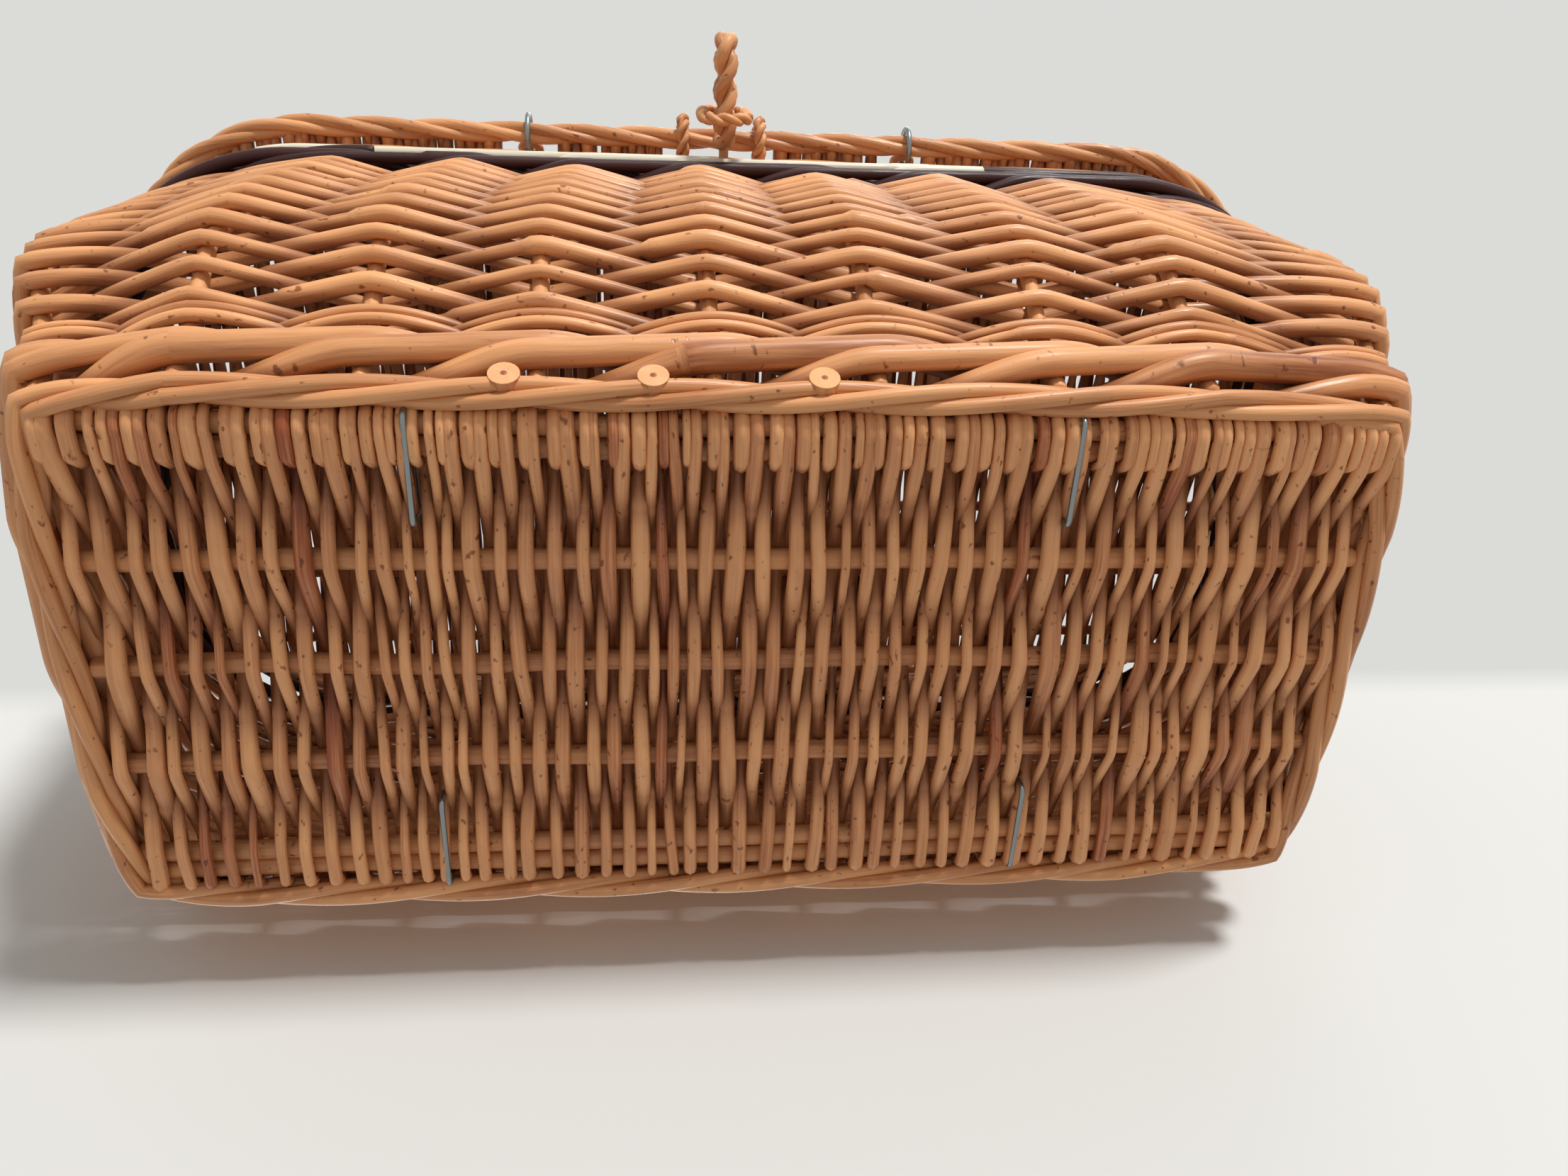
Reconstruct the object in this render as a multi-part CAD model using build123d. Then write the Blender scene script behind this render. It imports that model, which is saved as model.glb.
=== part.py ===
"""Willow picnic basket with a hinged lid, a twisted hasp and staple, and a carrying handle.

Frame: origin at the middle of the underside, +Z up, X along the length, the fastening on the -Y side.
All sizes are in millimetres. Woven walls are two skins with the upright stakes between them.
"""
import math
import os

from build123d import *

# Driving dimensions of the base
MAT_LENGTH = 375.0           # woven bottom along X, with the stick ends
MAT_DEPTH = 161.0            # woven bottom along Y
MAT_CORNER = 14.0            # corner radius of the bottom
BASE_STICK = 6.4             # diameter of the long bottom sticks
BASE_GAPS = 4                # spaces between the two pairs of edge sticks
EDGE_SPACE = 3.0             # weave left outside the edge sticks
BASE_SKIN = 4.2              # thickness of the weave below and above the sticks
SEAT = 0.15                  # clearance between a flat skin and the sticks in it

# Driving dimensions of the wall
STAKE = 5.2                  # diameter of an upright stake
WALL_SEAT = 0.45             # clearance between the stakes and the rods around them
WALL_SKIN = 4.2
LONG_SHARES = (-0.87, -0.60, -0.335, -0.06, 0.205, 0.50, 0.76)   # stakes along a long side
SHORT_SHARES = (-0.64, 0.0, 0.64)                                # stakes along an end
FLARE = 31.0                 # how far the wall leans out past the mat's edge
RISE = 58.0                  # height over which it leans out
SWELL = 2.3                  # how sudden the lean is
CORNER_GROWTH = 0.8          # corner radius gained per millimetre of lean
CORNER_FROM = 70.0           # height above which the corners round off further
CORNER_LATE = 0.35           # corner radius gained per millimetre above that height
WALL_TOP = 146.0             # top of the plain weaving
WALL_STEPS = 6               # straight bands that make up the curved wall
WALL_ROWS = 24               # rows of weaving, ribs on the wall's faces
RIB = 1.5                    # depth of the valleys between rows

# Rods that go round the basket
FOOT_ROD = 5.0
UPSETT_ROD = 8.0
BINDING_ROD = 4.4
DARK_ROD = 5.0
WHITE_ROD = 4.6
BORDER_ROD = 6.4
ROD_GAP = 0.3                # clearance between neighbouring rounds
HINGE_SPACE = 4.2            # free height under the border, for the hinge loops

# Lid
LID_ROD = 8.0                # the round rod along the lid's edge
LID_OVER = 11.0              # how far the lid reaches past the border in front
LID_STICK = 4.6
LID_GAPS = 6
LID_SKIN = 3.0
LID_VALLEY = 1.5             # depth of the valleys between the lid's sticks
VALLEY_WIDTH = 20.0
LID_RAISE = 1.6              # middle of the lid's weave above the middle of its edge rod

# Hinge loops
HINGE_X = 98.0               # distance of each hinge loop from the middle
HINGE_WIRE = 3.0
HINGE_PLAY = 0.6
HINGE_BEND = 4.0
NOTCH_WIDTH = 11.0

# Handle and its rings
RING_X = 72.0
RING_WIRE = 2.0
RING_RADIUS = 7.5
RING_HANG = 2.0              # ring's middle from the lid rod's middle
RING_TURN = 50.0             # direction of that offset, up from level
LINK_TURN = 45.0             # direction of the handle's eye, up from level
EYE_ROPE = 3.2
EYE_RADIUS = 3.3
HANDLE_ROPE = 10.0
HANDLE_REACH = 78.0
HANDLE_BEND = 28.0
HANDLE_REST = 0.5            # space between the resting handle and the lid
HANDLE_NOTCH = 15.5

# Fastening
STAPLE_ROPE = 8.4
STAPLE_LENGTH = 42.0
STAPLE_EYE = 4.0
STAPLE_STUB = 3.6
COLLAR_ROPE = 4.6
COLLAR_WIDTH = 20.5
COLLAR_OUT = 13.0
HASP_ROPE = 5.0
HASP_EYE = 24.0
HASP_REACH = 50.0            # far end of the hasp's middle line from the lid rod's middle
HASP_TURN = 28.0             # how far up from level the resting hasp leans
HASP_NOTCH = 20.0
PLAY = 1.2                   # side play of a part in its notch

# Wire ties of the bottom and the cut rod ends
TIE_WIRE = 1.8
TIE_X = 92.0
TIE_REACH = 34.0
TIE_GROOVE = 0.3
BUTT_X = (-66.0, -27.0, 19.0)
BUTT_DIAMETER = 8.0
BUTT_OUT = 4.5

# Levels that follow from the sizes above
STICK_Z = BASE_SKIN + SEAT + BASE_STICK / 2
MAT_HIGH = STICK_Z + BASE_STICK / 2 + SEAT + BASE_SKIN
EDGE = STAKE / 2 + WALL_SEAT                     # stakes' middle to the nearest skin or mat
FOOT_Z = FOOT_ROD / 2
FOOT_TOP = 2 * FOOT_ROD + ROD_GAP
STAKE_FOOT = FOOT_TOP + 1.5
UPSETT_Z = FOOT_TOP + ROD_GAP + UPSETT_ROD / 2
UPSETT_TOP = UPSETT_Z + 1.5 * UPSETT_ROD + ROD_GAP
BINDING_Z = UPSETT_TOP + ROD_GAP + BINDING_ROD / 2
WALL_LOW = BINDING_Z + BINDING_ROD * 1.5 + 2 * ROD_GAP
DARK_Z = WALL_TOP + ROD_GAP + DARK_ROD / 2
WHITE_Z = DARK_Z + 1.5 * DARK_ROD + 2 * ROD_GAP + WHITE_ROD / 2
SPACE_LOW = WHITE_Z + WHITE_ROD / 2
BORDER_Z = SPACE_LOW + HINGE_SPACE + BORDER_ROD / 2
BORDER_STEP = BORDER_ROD * 0.5 * math.sqrt(3.0) + ROD_GAP
BORDER_TOP = BORDER_Z + BORDER_STEP + BORDER_ROD / 2
LID_AXIS_Z = BORDER_TOP + ROD_GAP + LID_ROD / 2
LID_MID_Z = LID_AXIS_Z + LID_RAISE
LID_TOP = LID_MID_Z + LID_STICK / 2 + SEAT + LID_SKIN
LEVELS = [WALL_LOW + (WALL_TOP - WALL_LOW) * (i / WALL_STEPS) ** 1.3 for i in range(WALL_STEPS + 1)]


def lean(z):
    """Outward lean of the stakes at height z."""
    return FLARE * (1.0 - math.exp(-((max(z, 0.0) / RISE) ** SWELL)))


def slant(z):
    """Length along the wall gained per millimetre of height, at height z."""
    return math.hypot(1.0, lean(z + 0.5) - lean(z - 0.5))


def plan(offset, z):
    """Half length, half depth and corner radius of an outline set off from the stakes' middle at height z."""
    out = EDGE + lean(z) + offset * slant(z)
    bend = MAT_CORNER + CORNER_GROWTH * lean(z) + CORNER_LATE * max(z - CORNER_FROM, 0.0)
    return MAT_LENGTH / 2 + out, MAT_DEPTH / 2 + out, max(bend + offset + EDGE, 4.0)


def outline(offset, z):
    """That outline as a flat face at height z."""
    half_x, half_y, radius = plan(offset, z)
    return Pos(0, 0, z) * RectangleRounded(2 * half_x, 2 * half_y, radius)


def rope(path, diameter):
    """A round rod along a path."""
    section = Plane(origin=path @ 0, z_dir=path % 0) * Circle(diameter / 2)
    return sweep(section, path=path)


def rod_round(offset, z, diameter):
    """One rod bent all the way round the basket."""
    return rope(outline(offset, z).face().outer_wire(), diameter)


def chord_outline(offset, z):
    """An outline on the straight bands between the wall's levels, so that it keeps its distance from them."""
    band = min(max(sum(level <= z for level in LEVELS) - 1, 0), WALL_STEPS - 1)
    share = (z - LEVELS[band]) / (LEVELS[band + 1] - LEVELS[band])
    low, high = plan(offset, LEVELS[band]), plan(offset, LEVELS[band + 1])
    half_x, half_y, radius = (a + (b - a) * share for a, b in zip(low, high))
    return Pos(0, 0, z) * RectangleRounded(2 * half_x, 2 * half_y, radius)


def ribbed(peak, valley):
    """A wall body with one rib per row: a valley at each row's edges and a flat peak between."""
    pitch = (WALL_TOP - WALL_LOW) / WALL_ROWS
    marks = [(WALL_LOW, valley)]
    for row in range(WALL_ROWS):
        low = WALL_LOW + row * pitch
        marks += [(low + 0.3 * pitch, peak), (low + 0.7 * pitch, peak), (low + pitch, valley)]
    return loft([chord_outline(offset, z).face() for z, offset in marks], ruled=True)


def woven_skin(side):
    """The woven wall outside (1) or inside (-1) the stakes: plain towards them, ribbed on its open face."""
    peak = side * (EDGE + WALL_SKIN)
    rows = ribbed(peak, peak - side * RIB)
    plain = loft([outline(side * EDGE, z).face() for z in LEVELS], ruled=True)
    return rows - plain if side > 0 else plain - rows


def stake_point(kind, side, share, z):
    """Where a stake's middle lies at height z."""
    half_x, half_y, radius = plan(0.0, z)
    if kind == "long":
        return (share * (half_x - radius), side * half_y, z)
    if kind == "short":
        return (side * half_x, share * (half_y - radius), z)
    bend = radius * (1.0 - math.sqrt(0.5))
    return (side * (half_x - bend), share * (half_y - bend), z)


def stake_rods():
    """The upright stakes, bent outwards with the wall."""
    places = [("long", side, share) for side in (-1, 1) for share in LONG_SHARES]
    places += [("short", side, share) for side in (-1, 1) for share in SHORT_SHARES]
    places += [("corner", side, other) for side in (-1, 1) for other in (-1, 1)]
    top = BORDER_Z - BORDER_ROD / 2 - ROD_GAP
    heights = [STAKE_FOOT, UPSETT_Z + UPSETT_ROD / 2, UPSETT_TOP] + LEVELS + [top]
    rods = []
    for kind, side, share in places:
        path = FilletPolyline(*[stake_point(kind, side, share, z) for z in heights], radius=12.0)
        rods.append(rope(path, STAKE))
    return rods


def reach_at(y, half_x, half_y, radius):
    """Half length of a rounded rectangle at distance y from its middle line."""
    past = max(abs(y) - (half_y - radius), 0.0)
    return half_x - radius + math.sqrt(max(radius ** 2 - past ** 2, 0.0))


def straight_rod(y, z, half, diameter):
    """A straight stick along X."""
    return Pos(0, y, z) * Rot(0, 90, 0) * Cylinder(diameter / 2, 2 * half)


def base_sticks():
    """Long bottom sticks: a pair along each edge and singles between."""
    edge = MAT_DEPTH / 2 - EDGE_SPACE - BASE_STICK / 2
    inner = edge - BASE_STICK - ROD_GAP
    rows = [-edge, edge] + [-inner + 2 * inner * i / BASE_GAPS for i in range(BASE_GAPS + 1)]
    sticks = []
    for y in sorted(rows):
        half = reach_at(abs(y) + BASE_STICK / 2, MAT_LENGTH / 2, MAT_DEPTH / 2, MAT_CORNER) - 2.0
        sticks.append(straight_rod(y, STICK_Z, half, BASE_STICK))
    return sticks


def tie_loops(diameter):
    """Wire ties through the bottom, two in front and two behind."""
    loops = []
    low, high = TIE_WIRE / 2 + 0.1, MAT_HIGH - TIE_WIRE / 2 - 0.1
    width = TIE_REACH - TIE_WIRE
    for side in (-1, 1):
        y = side * (MAT_DEPTH / 2 - 0.5 - TIE_WIRE / 2 - width / 2)
        for x in (-TIE_X, TIE_X):
            flat = Plane.YZ * RectangleRounded(width, high - low, 2.0)
            path = (Pos(x, y, (low + high) / 2) * flat).face().outer_wire()
            loops.append(rope(path, diameter))
    return loops


def base_skins():
    """The bottom's weave below and above its sticks, grooved for the ties."""
    face = RectangleRounded(MAT_LENGTH, MAT_DEPTH, MAT_CORNER)
    low = extrude(face, amount=BASE_SKIN)
    high = extrude(Pos(0, 0, MAT_HIGH - BASE_SKIN) * face, amount=BASE_SKIN)
    for loop in tie_loops(TIE_WIRE + 2 * TIE_GROOVE):
        low, high = low - loop, high - loop
    return low, high


def cut_ends():
    """Rod ends cut off short that stick out between the foot and the first thick rounds."""
    z = FOOT_TOP - BUTT_DIAMETER / 2
    ends = []
    for x in BUTT_X:
        near = -(MAT_DEPTH / 2 + EDGE + lean(FOOT_Z) + FOOT_ROD / 2 + 0.6)
        ends.append(Pos(x, near - BUTT_OUT / 2, z) * Rot(90, 0, 0) * Cylinder(BUTT_DIAMETER / 2, BUTT_OUT))
    return ends


def lid_plan(inset):
    """Half length, half depth and corner radius of the lid, set in from its edge rod's middle."""
    half_x, half_y, radius = plan(0.0, BORDER_Z)
    return half_x + LID_OVER / 2 - inset, half_y + LID_OVER / 2 - inset, radius - inset


def lid_face(inset, z):
    """The lid's outline as a face; its back edge stays over the border."""
    half_x, half_y, radius = lid_plan(inset)
    return Pos(0, -LID_OVER / 2, z) * RectangleRounded(2 * half_x, 2 * half_y, radius)


BACK_Y = plan(0.0, BORDER_Z)[1]
FRONT_Y = -BACK_Y - LID_OVER


def hinge_half():
    """Inner half width of a hinge loop, which holds the border's two lower rods."""
    return BORDER_ROD + ROD_GAP / 2 + HINGE_PLAY


def about(x, y, radius, width):
    """A round cutter about an edge rod of the lid."""
    return Pos(x, y, LID_AXIS_Z) * Rot(0, 90, 0) * Cylinder(radius, width)


def lid_cutters():
    """Spaces in the lid for the hinge loops, the handle's rings and the hasp."""
    hinge = hinge_half() + HINGE_WIRE + 1.0
    cuts = [about(x, BACK_Y, hinge, NOTCH_WIDTH) for x in (-HINGE_X, HINGE_X)]
    cuts += [about(x, FRONT_Y, HANDLE_NOTCH, HANDLE_ROPE + 2 * PLAY) for x in (-RING_X, RING_X)]
    cuts.append(about(0, FRONT_Y, HASP_NOTCH, HASP_EYE + 2 * HASP_ROPE + 2 * PLAY))
    return cuts


def lid_weave():
    """The lid's weave below and above its sticks."""
    inset = LID_ROD / 2 + ROD_GAP
    low = extrude(lid_face(inset, LID_MID_Z - LID_STICK / 2 - SEAT - LID_SKIN), amount=LID_SKIN)
    high = extrude(lid_face(inset, LID_TOP - LID_SKIN), amount=LID_SKIN)
    for cut in lid_cutters():
        low, high = low - cut, high - cut
    flat = Plane.YZ * Polygon((-VALLEY_WIDTH / 2, 0), (0, -LID_VALLEY), (VALLEY_WIDTH / 2, 0), align=None)
    valley = extrude(flat, amount=MAT_LENGTH, both=True)
    rows = lid_rows()
    for before, after in zip(rows, rows[1:]):
        y = (before + after) / 2 - LID_OVER / 2
        high = high - Pos(0, y, LID_TOP) * valley
        low = low - Pos(0, y, LID_MID_Z - LID_STICK / 2 - SEAT - LID_SKIN) * Rot(180, 0, 0) * valley
    return low, high


def lid_rows():
    """Distances of the lid's sticks from its middle line."""
    room = HASP_NOTCH + LID_STICK / 2 - LID_ROD / 2
    reach = lid_plan(LID_ROD / 2 + ROD_GAP)[1] - room
    return [-reach + 2 * reach * i / LID_GAPS for i in range(LID_GAPS + 1)]


def lid_sticks():
    """Long sticks through the lid, clear of the notches along its edges."""
    half_x, half_y, radius = lid_plan(LID_ROD / 2 + ROD_GAP)
    sticks = []
    for y in lid_rows():
        half = reach_at(abs(y) + LID_STICK / 2, half_x, half_y, radius) - 1.0
        sticks.append(straight_rod(y - LID_OVER / 2, LID_MID_Z, half, LID_STICK))
    return sticks


def hinge_loop(x):
    """A long loop round the back border and the lid's edge rod."""
    half = hinge_half() + HINGE_WIRE / 2
    low = BORDER_Z - BORDER_ROD / 2 - HINGE_PLAY - HINGE_WIRE / 2
    high = LID_AXIS_Z + LID_ROD / 2 + HINGE_PLAY + HINGE_WIRE / 2
    flat = Plane.YZ * RectangleRounded(2 * half, high - low, HINGE_BEND)
    return rope((Pos(x, BACK_Y, (low + high) / 2) * flat).face().outer_wire(), HINGE_WIRE)


def staple_parts():
    """A long narrow loop standing straight out of the wall, with a stub into the weave, and its ring."""
    z = SPACE_LOW + HINGE_SPACE / 2
    wall = -BACK_Y
    start = wall - EDGE - DARK_ROD - ROD_GAP - 0.6
    flat = Plane.YZ * SlotOverall(STAPLE_LENGTH - STAPLE_ROPE, STAPLE_EYE + STAPLE_ROPE)
    loop = rope((Pos(0, start - STAPLE_LENGTH / 2, z) * flat).face().outer_wire(), STAPLE_ROPE)
    stub_length = wall - start + 8.0
    stub = Pos(0, start + stub_length / 2 - 3.0, z) * Rot(90, 0, 0) * Cylinder(STAPLE_STUB / 2, stub_length)
    tall = STAPLE_EYE + 2 * STAPLE_ROPE + 2 * ROD_GAP + COLLAR_ROPE
    ring_flat = Plane.XZ * SlotOverall(tall, COLLAR_WIDTH - COLLAR_ROPE, rotation=90)
    ring = rope((Pos(0, start - COLLAR_OUT, z) * ring_flat).face().outer_wire(), COLLAR_ROPE)
    return loop + stub, ring


def hasp():
    """A long open loop on two eyes that turn on the lid's front rod, at rest leaning back over the lid."""
    side = HASP_EYE / 2 + HASP_ROPE / 2
    root = LID_ROD / 2 + ROD_GAP + HASP_ROPE / 2
    path = FilletPolyline((-side, root, 0), (-side, HASP_REACH, 0), (side, HASP_REACH, 0), (side, root, 0),
                          radius=side - 0.1)
    legs = rope(path, HASP_ROPE)
    eyes = [Pos(x, 0, 0) * Rot(0, 90, 0) * Torus(root, HASP_ROPE / 2) for x in (-side, side)]
    return Pos(0, FRONT_Y, LID_AXIS_Z) * Rot(HASP_TURN, 0, 0) * (legs + eyes[0] + eyes[1])


def handle_parts():
    """The carrying handle lying back on the lid, and the two steel rings it hangs in."""
    hang, link = math.radians(RING_TURN), math.radians(LINK_TURN)
    ring_y = FRONT_Y + RING_HANG * math.cos(hang)
    ring_z = LID_AXIS_Z + RING_HANG * math.sin(hang)
    rings = [Pos(x, ring_y, ring_z) * Rot(0, 90, 0) * Torus(RING_RADIUS, RING_WIRE / 2) for x in (-RING_X, RING_X)]
    eye_y = ring_y + RING_RADIUS * math.cos(link)
    eye_z = ring_z + RING_RADIUS * math.sin(link)
    level = LID_TOP + HANDLE_ROPE / 2 + HANDLE_REST
    start = EYE_RADIUS + 0.1
    y_start, z_start = eye_y + start * math.cos(link), eye_z + start * math.sin(link)
    y_bend = y_start + (level - z_start) / math.tan(link)
    far = FRONT_Y + HANDLE_REACH
    path = FilletPolyline((-RING_X, y_start, z_start), (-RING_X, y_bend, level), (-RING_X, far, level),
                          (RING_X, far, level), (RING_X, y_bend, level), (RING_X, y_start, z_start),
                          radius=(5.2, HANDLE_BEND, HANDLE_BEND, 5.2))
    bail = rope(path, HANDLE_ROPE)
    for x in (-RING_X, RING_X):
        bail = bail + Pos(x, eye_y, eye_z) * Rot(LINK_TURN, 0, 0) * Torus(EYE_RADIUS, EYE_ROPE / 2)
    return bail, rings


def save(name, solids):
    """Write one named part, made of one or more solids."""
    solids = list(solids) if isinstance(solids, (list, tuple)) else [solids]
    shape = solids[0] if len(solids) == 1 else Compound(children=[s for s in solids])
    shape.label = name
    export_step(shape, os.path.join("parts", name + ".step"))


def main():
    os.makedirs("parts", exist_ok=True)
    low, high = base_skins()
    save("base_weave_under", low)
    save("base_weave_inside", high)
    save("base_sticks", base_sticks())
    save("base_ties", tie_loops(TIE_WIRE))
    save("foot_rods", [rod_round(0.0, FOOT_Z, FOOT_ROD), rod_round(0.0, FOOT_Z + FOOT_ROD + ROD_GAP, FOOT_ROD)])
    side = EDGE + UPSETT_ROD / 2
    save("upsett_rods", [rod_round(side, UPSETT_Z, UPSETT_ROD),
                         rod_round(side, UPSETT_Z + UPSETT_ROD + ROD_GAP, UPSETT_ROD)])
    save("upsett_rod_inside", rod_round(-side, MAT_HIGH + ROD_GAP + UPSETT_ROD / 2, UPSETT_ROD))
    save("cut_ends", cut_ends())
    side = EDGE + BINDING_ROD / 2
    levels = (BINDING_Z, BINDING_Z + BINDING_ROD + ROD_GAP)
    save("binding_rods", [rod_round(side, z, BINDING_ROD) for z in levels])
    save("binding_rods_inside", [rod_round(-side, z, BINDING_ROD) for z in levels])
    save("side_stakes", stake_rods())
    save("wall_weave_outside", woven_skin(1))
    save("wall_weave_inside", woven_skin(-1))
    side = EDGE + DARK_ROD / 2
    levels = (DARK_Z, DARK_Z + DARK_ROD + ROD_GAP)
    save("dark_rods", [rod_round(side, z, DARK_ROD) for z in levels])
    save("dark_rods_inside", [rod_round(-side, z, DARK_ROD) for z in levels])
    side = EDGE + WHITE_ROD / 2
    save("white_rod", rod_round(side, WHITE_Z, WHITE_ROD))
    save("white_rod_inside", rod_round(-side, WHITE_Z, WHITE_ROD))
    half = (BORDER_ROD + ROD_GAP) / 2
    save("border_outside", rod_round(half, BORDER_Z, BORDER_ROD))
    save("border_inside", rod_round(-half, BORDER_Z, BORDER_ROD))
    save("border_top", rope((Pos(0, 0, BORDER_STEP) * outline(0.0, BORDER_Z)).face().outer_wire(), BORDER_ROD))
    staple, ring = staple_parts()
    save("staple", staple)
    save("staple_ring", ring)
    save("hinge_left", hinge_loop(-HINGE_X))
    save("hinge_right", hinge_loop(HINGE_X))
    save("lid_edge", rope(lid_face(0.0, LID_AXIS_Z).face().outer_wire(), LID_ROD))
    save("lid_sticks", lid_sticks())
    low, high = lid_weave()
    save("lid_weave_under", low)
    save("lid_weave_top", high)
    save("hasp", hasp())
    bail, rings = handle_parts()
    save("handle", bail)
    save("ring_left", rings[0])
    save("ring_right", rings[1])
    print("axes", round(BACK_Y, 3), round(FRONT_Y, 3), round(LID_AXIS_Z, 3), round(LID_TOP, 3))


main()
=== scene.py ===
"""Dresses the picnic basket's frame with woven willow rods, twisted ropes and steel fittings."""
import math

import bpy
import numpy as np
from bpy.props import FloatProperty, FloatVectorProperty, IntProperty, PointerProperty
from mathutils import Matrix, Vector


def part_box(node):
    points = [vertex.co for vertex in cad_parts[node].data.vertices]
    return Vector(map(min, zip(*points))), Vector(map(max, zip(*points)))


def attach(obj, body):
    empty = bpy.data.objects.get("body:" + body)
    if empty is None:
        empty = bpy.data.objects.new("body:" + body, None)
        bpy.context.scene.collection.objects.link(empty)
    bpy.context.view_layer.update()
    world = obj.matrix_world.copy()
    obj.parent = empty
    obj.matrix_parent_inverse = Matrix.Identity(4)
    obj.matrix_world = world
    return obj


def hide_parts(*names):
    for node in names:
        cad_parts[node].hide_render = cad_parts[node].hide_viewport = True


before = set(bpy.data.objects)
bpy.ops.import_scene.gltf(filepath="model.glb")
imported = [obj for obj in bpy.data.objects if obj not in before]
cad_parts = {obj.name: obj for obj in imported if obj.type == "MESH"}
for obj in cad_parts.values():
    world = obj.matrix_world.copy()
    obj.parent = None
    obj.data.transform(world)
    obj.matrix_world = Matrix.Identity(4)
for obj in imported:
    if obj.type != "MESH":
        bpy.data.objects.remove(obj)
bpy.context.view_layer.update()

bl_info = {
    "name": "Willow picnic basket",
    "version": (1, 0, 0),
    "blender": (4, 2, 0),
    "location": "View3D > Sidebar > Basket",
    "description": "Weaves a willow picnic basket round its frame",
    "category": "Object",
}

# Shape of the wall, shared by every round of rods, in metres
SWELL = 2.3                   # how sudden the wall's lean is
CORNER_GROWTH = 0.8           # corner radius gained per metre of lean
CORNER_FROM = 0.070           # height above which the corners round off further
CORNER_LATE = 0.35            # corner radius gained per metre above that height
EDGE_GAP = 0.00045            # gap between the stakes and the bottom's edge
STAKE_ENDS = (0.0008, 0.001)  # room for the rounded ends of the stakes, below and above
# Places of the stakes on a long and a short side, as shares of half its straight stretch
LONG_SHARES = (-0.87, -0.60, -0.335, -0.06, 0.205, 0.50, 0.76)
SHORT_SHARES = (-0.64, 0.0, 0.64)
FACET = 0.75                  # how straight the rods run from stake to stake low down, 0 to 1
FACET_FROM = 0.085            # height from which they run rounder
FACET_END = 0.150             # height from which they follow the rounded outline
WHITE_SPAN = (-0.45, 5.65)    # stakes between which the peeled rods run
WALE_STEPS = 20               # points from one stake to the next in the thick rounds

# Weaving rods
ROD_KINK = 0.05               # how round a rod turns where it swings back, in sticks
ROD_END = 0.35                # how far a rod's end reaches past its last point, in radii
ROD_TIP = (0.02, 0.8)         # radius of the two rings that round off an end, as shares
ROD_MARGIN = 1.2              # room between the outermost rods' middles and a sheet's ends, in usual radii
ROD_ROOM = 0.55               # room between the rods' ends and a sheet's outline, in usual radii
ROD_BOW = 0.002               # how far the outermost rods bow inwards at their middle
ROD_SPREAD = 0.23             # how much the rods' thickness varies, as the spread of its logarithm
ROD_RANGE = (0.66, 1.42)      # thinnest and thickest rod, as shares of the usual one
STICK_END = 0.002             # room at the ends of the sticks
PAINTED_SHADE_DEPTH = 0.36            # how far from its middle height a sheet's painted shade reaches, as a share of its thickness
END_CROWDING = 0.32           # how much closer the points lie at the rods' ends
ROW_CROWDING = 0.26           # how much closer the wall's rows lie near the rim
ROW_TOUCH = 0.98              # gap from a stake's side to a rod's middle, in usual radii
ROW_THINNING = 0.20           # how much thinner the rods are near the rim

# Bottom
BASE_STICK_RADIUS = 0.0032
BASE_PAIR = (0.0676, 0.0743)  # places of the paired sticks at the front and back edges
BASE_PAIR_ROOM = (0.0021, 0.0022)   # how far inside and outside a pair the rods turn
BASE_MIDDLE = 0.0338          # place of the single sticks beside the middle one
BASE_STICK_SPARE = 0.0035     # room kept between the sticks' ends and the corners
FOLD_FROM = 0.0125            # how far behind the front edge a rod's fold takes over
FOLD_TAIL = (0.0175, 0.0105)  # where the folded end starts and where it meets the fold, behind the edge
FOLD_OPENING = (0.05, 0.4, 0.75, 0.97, 1.0, 1.0, 1.0)   # the folded end's way out from the middle
FOLD_SHIFT = 0.0006           # how far beside its rod the folded end lies
FOLD_THIN = 0.9               # thickness of the folded end, as a share of its rod's
FOOT_RODS = 3
FOOT_TURN = 24 / 9            # stakes in one turn of the foot's twist
FOOT_TWIST = (0.0024, 0.0026)   # how far the foot's rods wind outwards and upwards
FOOT_INSET = 0.0001
FOOT_RADIUS = 0.0023
TIE_X = 0.092
TIE_REACH = 0.0331            # how far in from the edge a tie's wire comes back up
TIE_RADIUS = 0.0009
TIE_BEND = 0.002
BUTT_X = (-0.066, -0.027, 0.019)
BUTT_TILT = math.radians(24.0)   # how far the cut faces look down
BUTT_RADIUS = 0.0043
BUTT_LENGTH = 0.010
BUTT_STEP = 0.00002           # how far each ring of a cut face stands out from the last one
BUTT_PLACE = (0.0022, -0.0006)   # the cut face's middle, in from the front and up from the box's middle
BUTT_FACE = (1.0, 0.96, 0.60, 0.26, 0.17, 0.08)   # radii of the rings on the cut face, as shares
BUTT_SHADES = (0.75, 0.95, 0.85, 0.9, 0.0, 0.0)   # their tints: pale wood, then dark pith

# Border
BORDER_RODS = 4
BORDER_TURN = 4               # stakes in one turn of the border's rods
BORDER_TWIST = (0.00345, 0.0032)   # how far the border's rods wind outwards and upwards
BORDER_RADIUS = 0.0029

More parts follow.
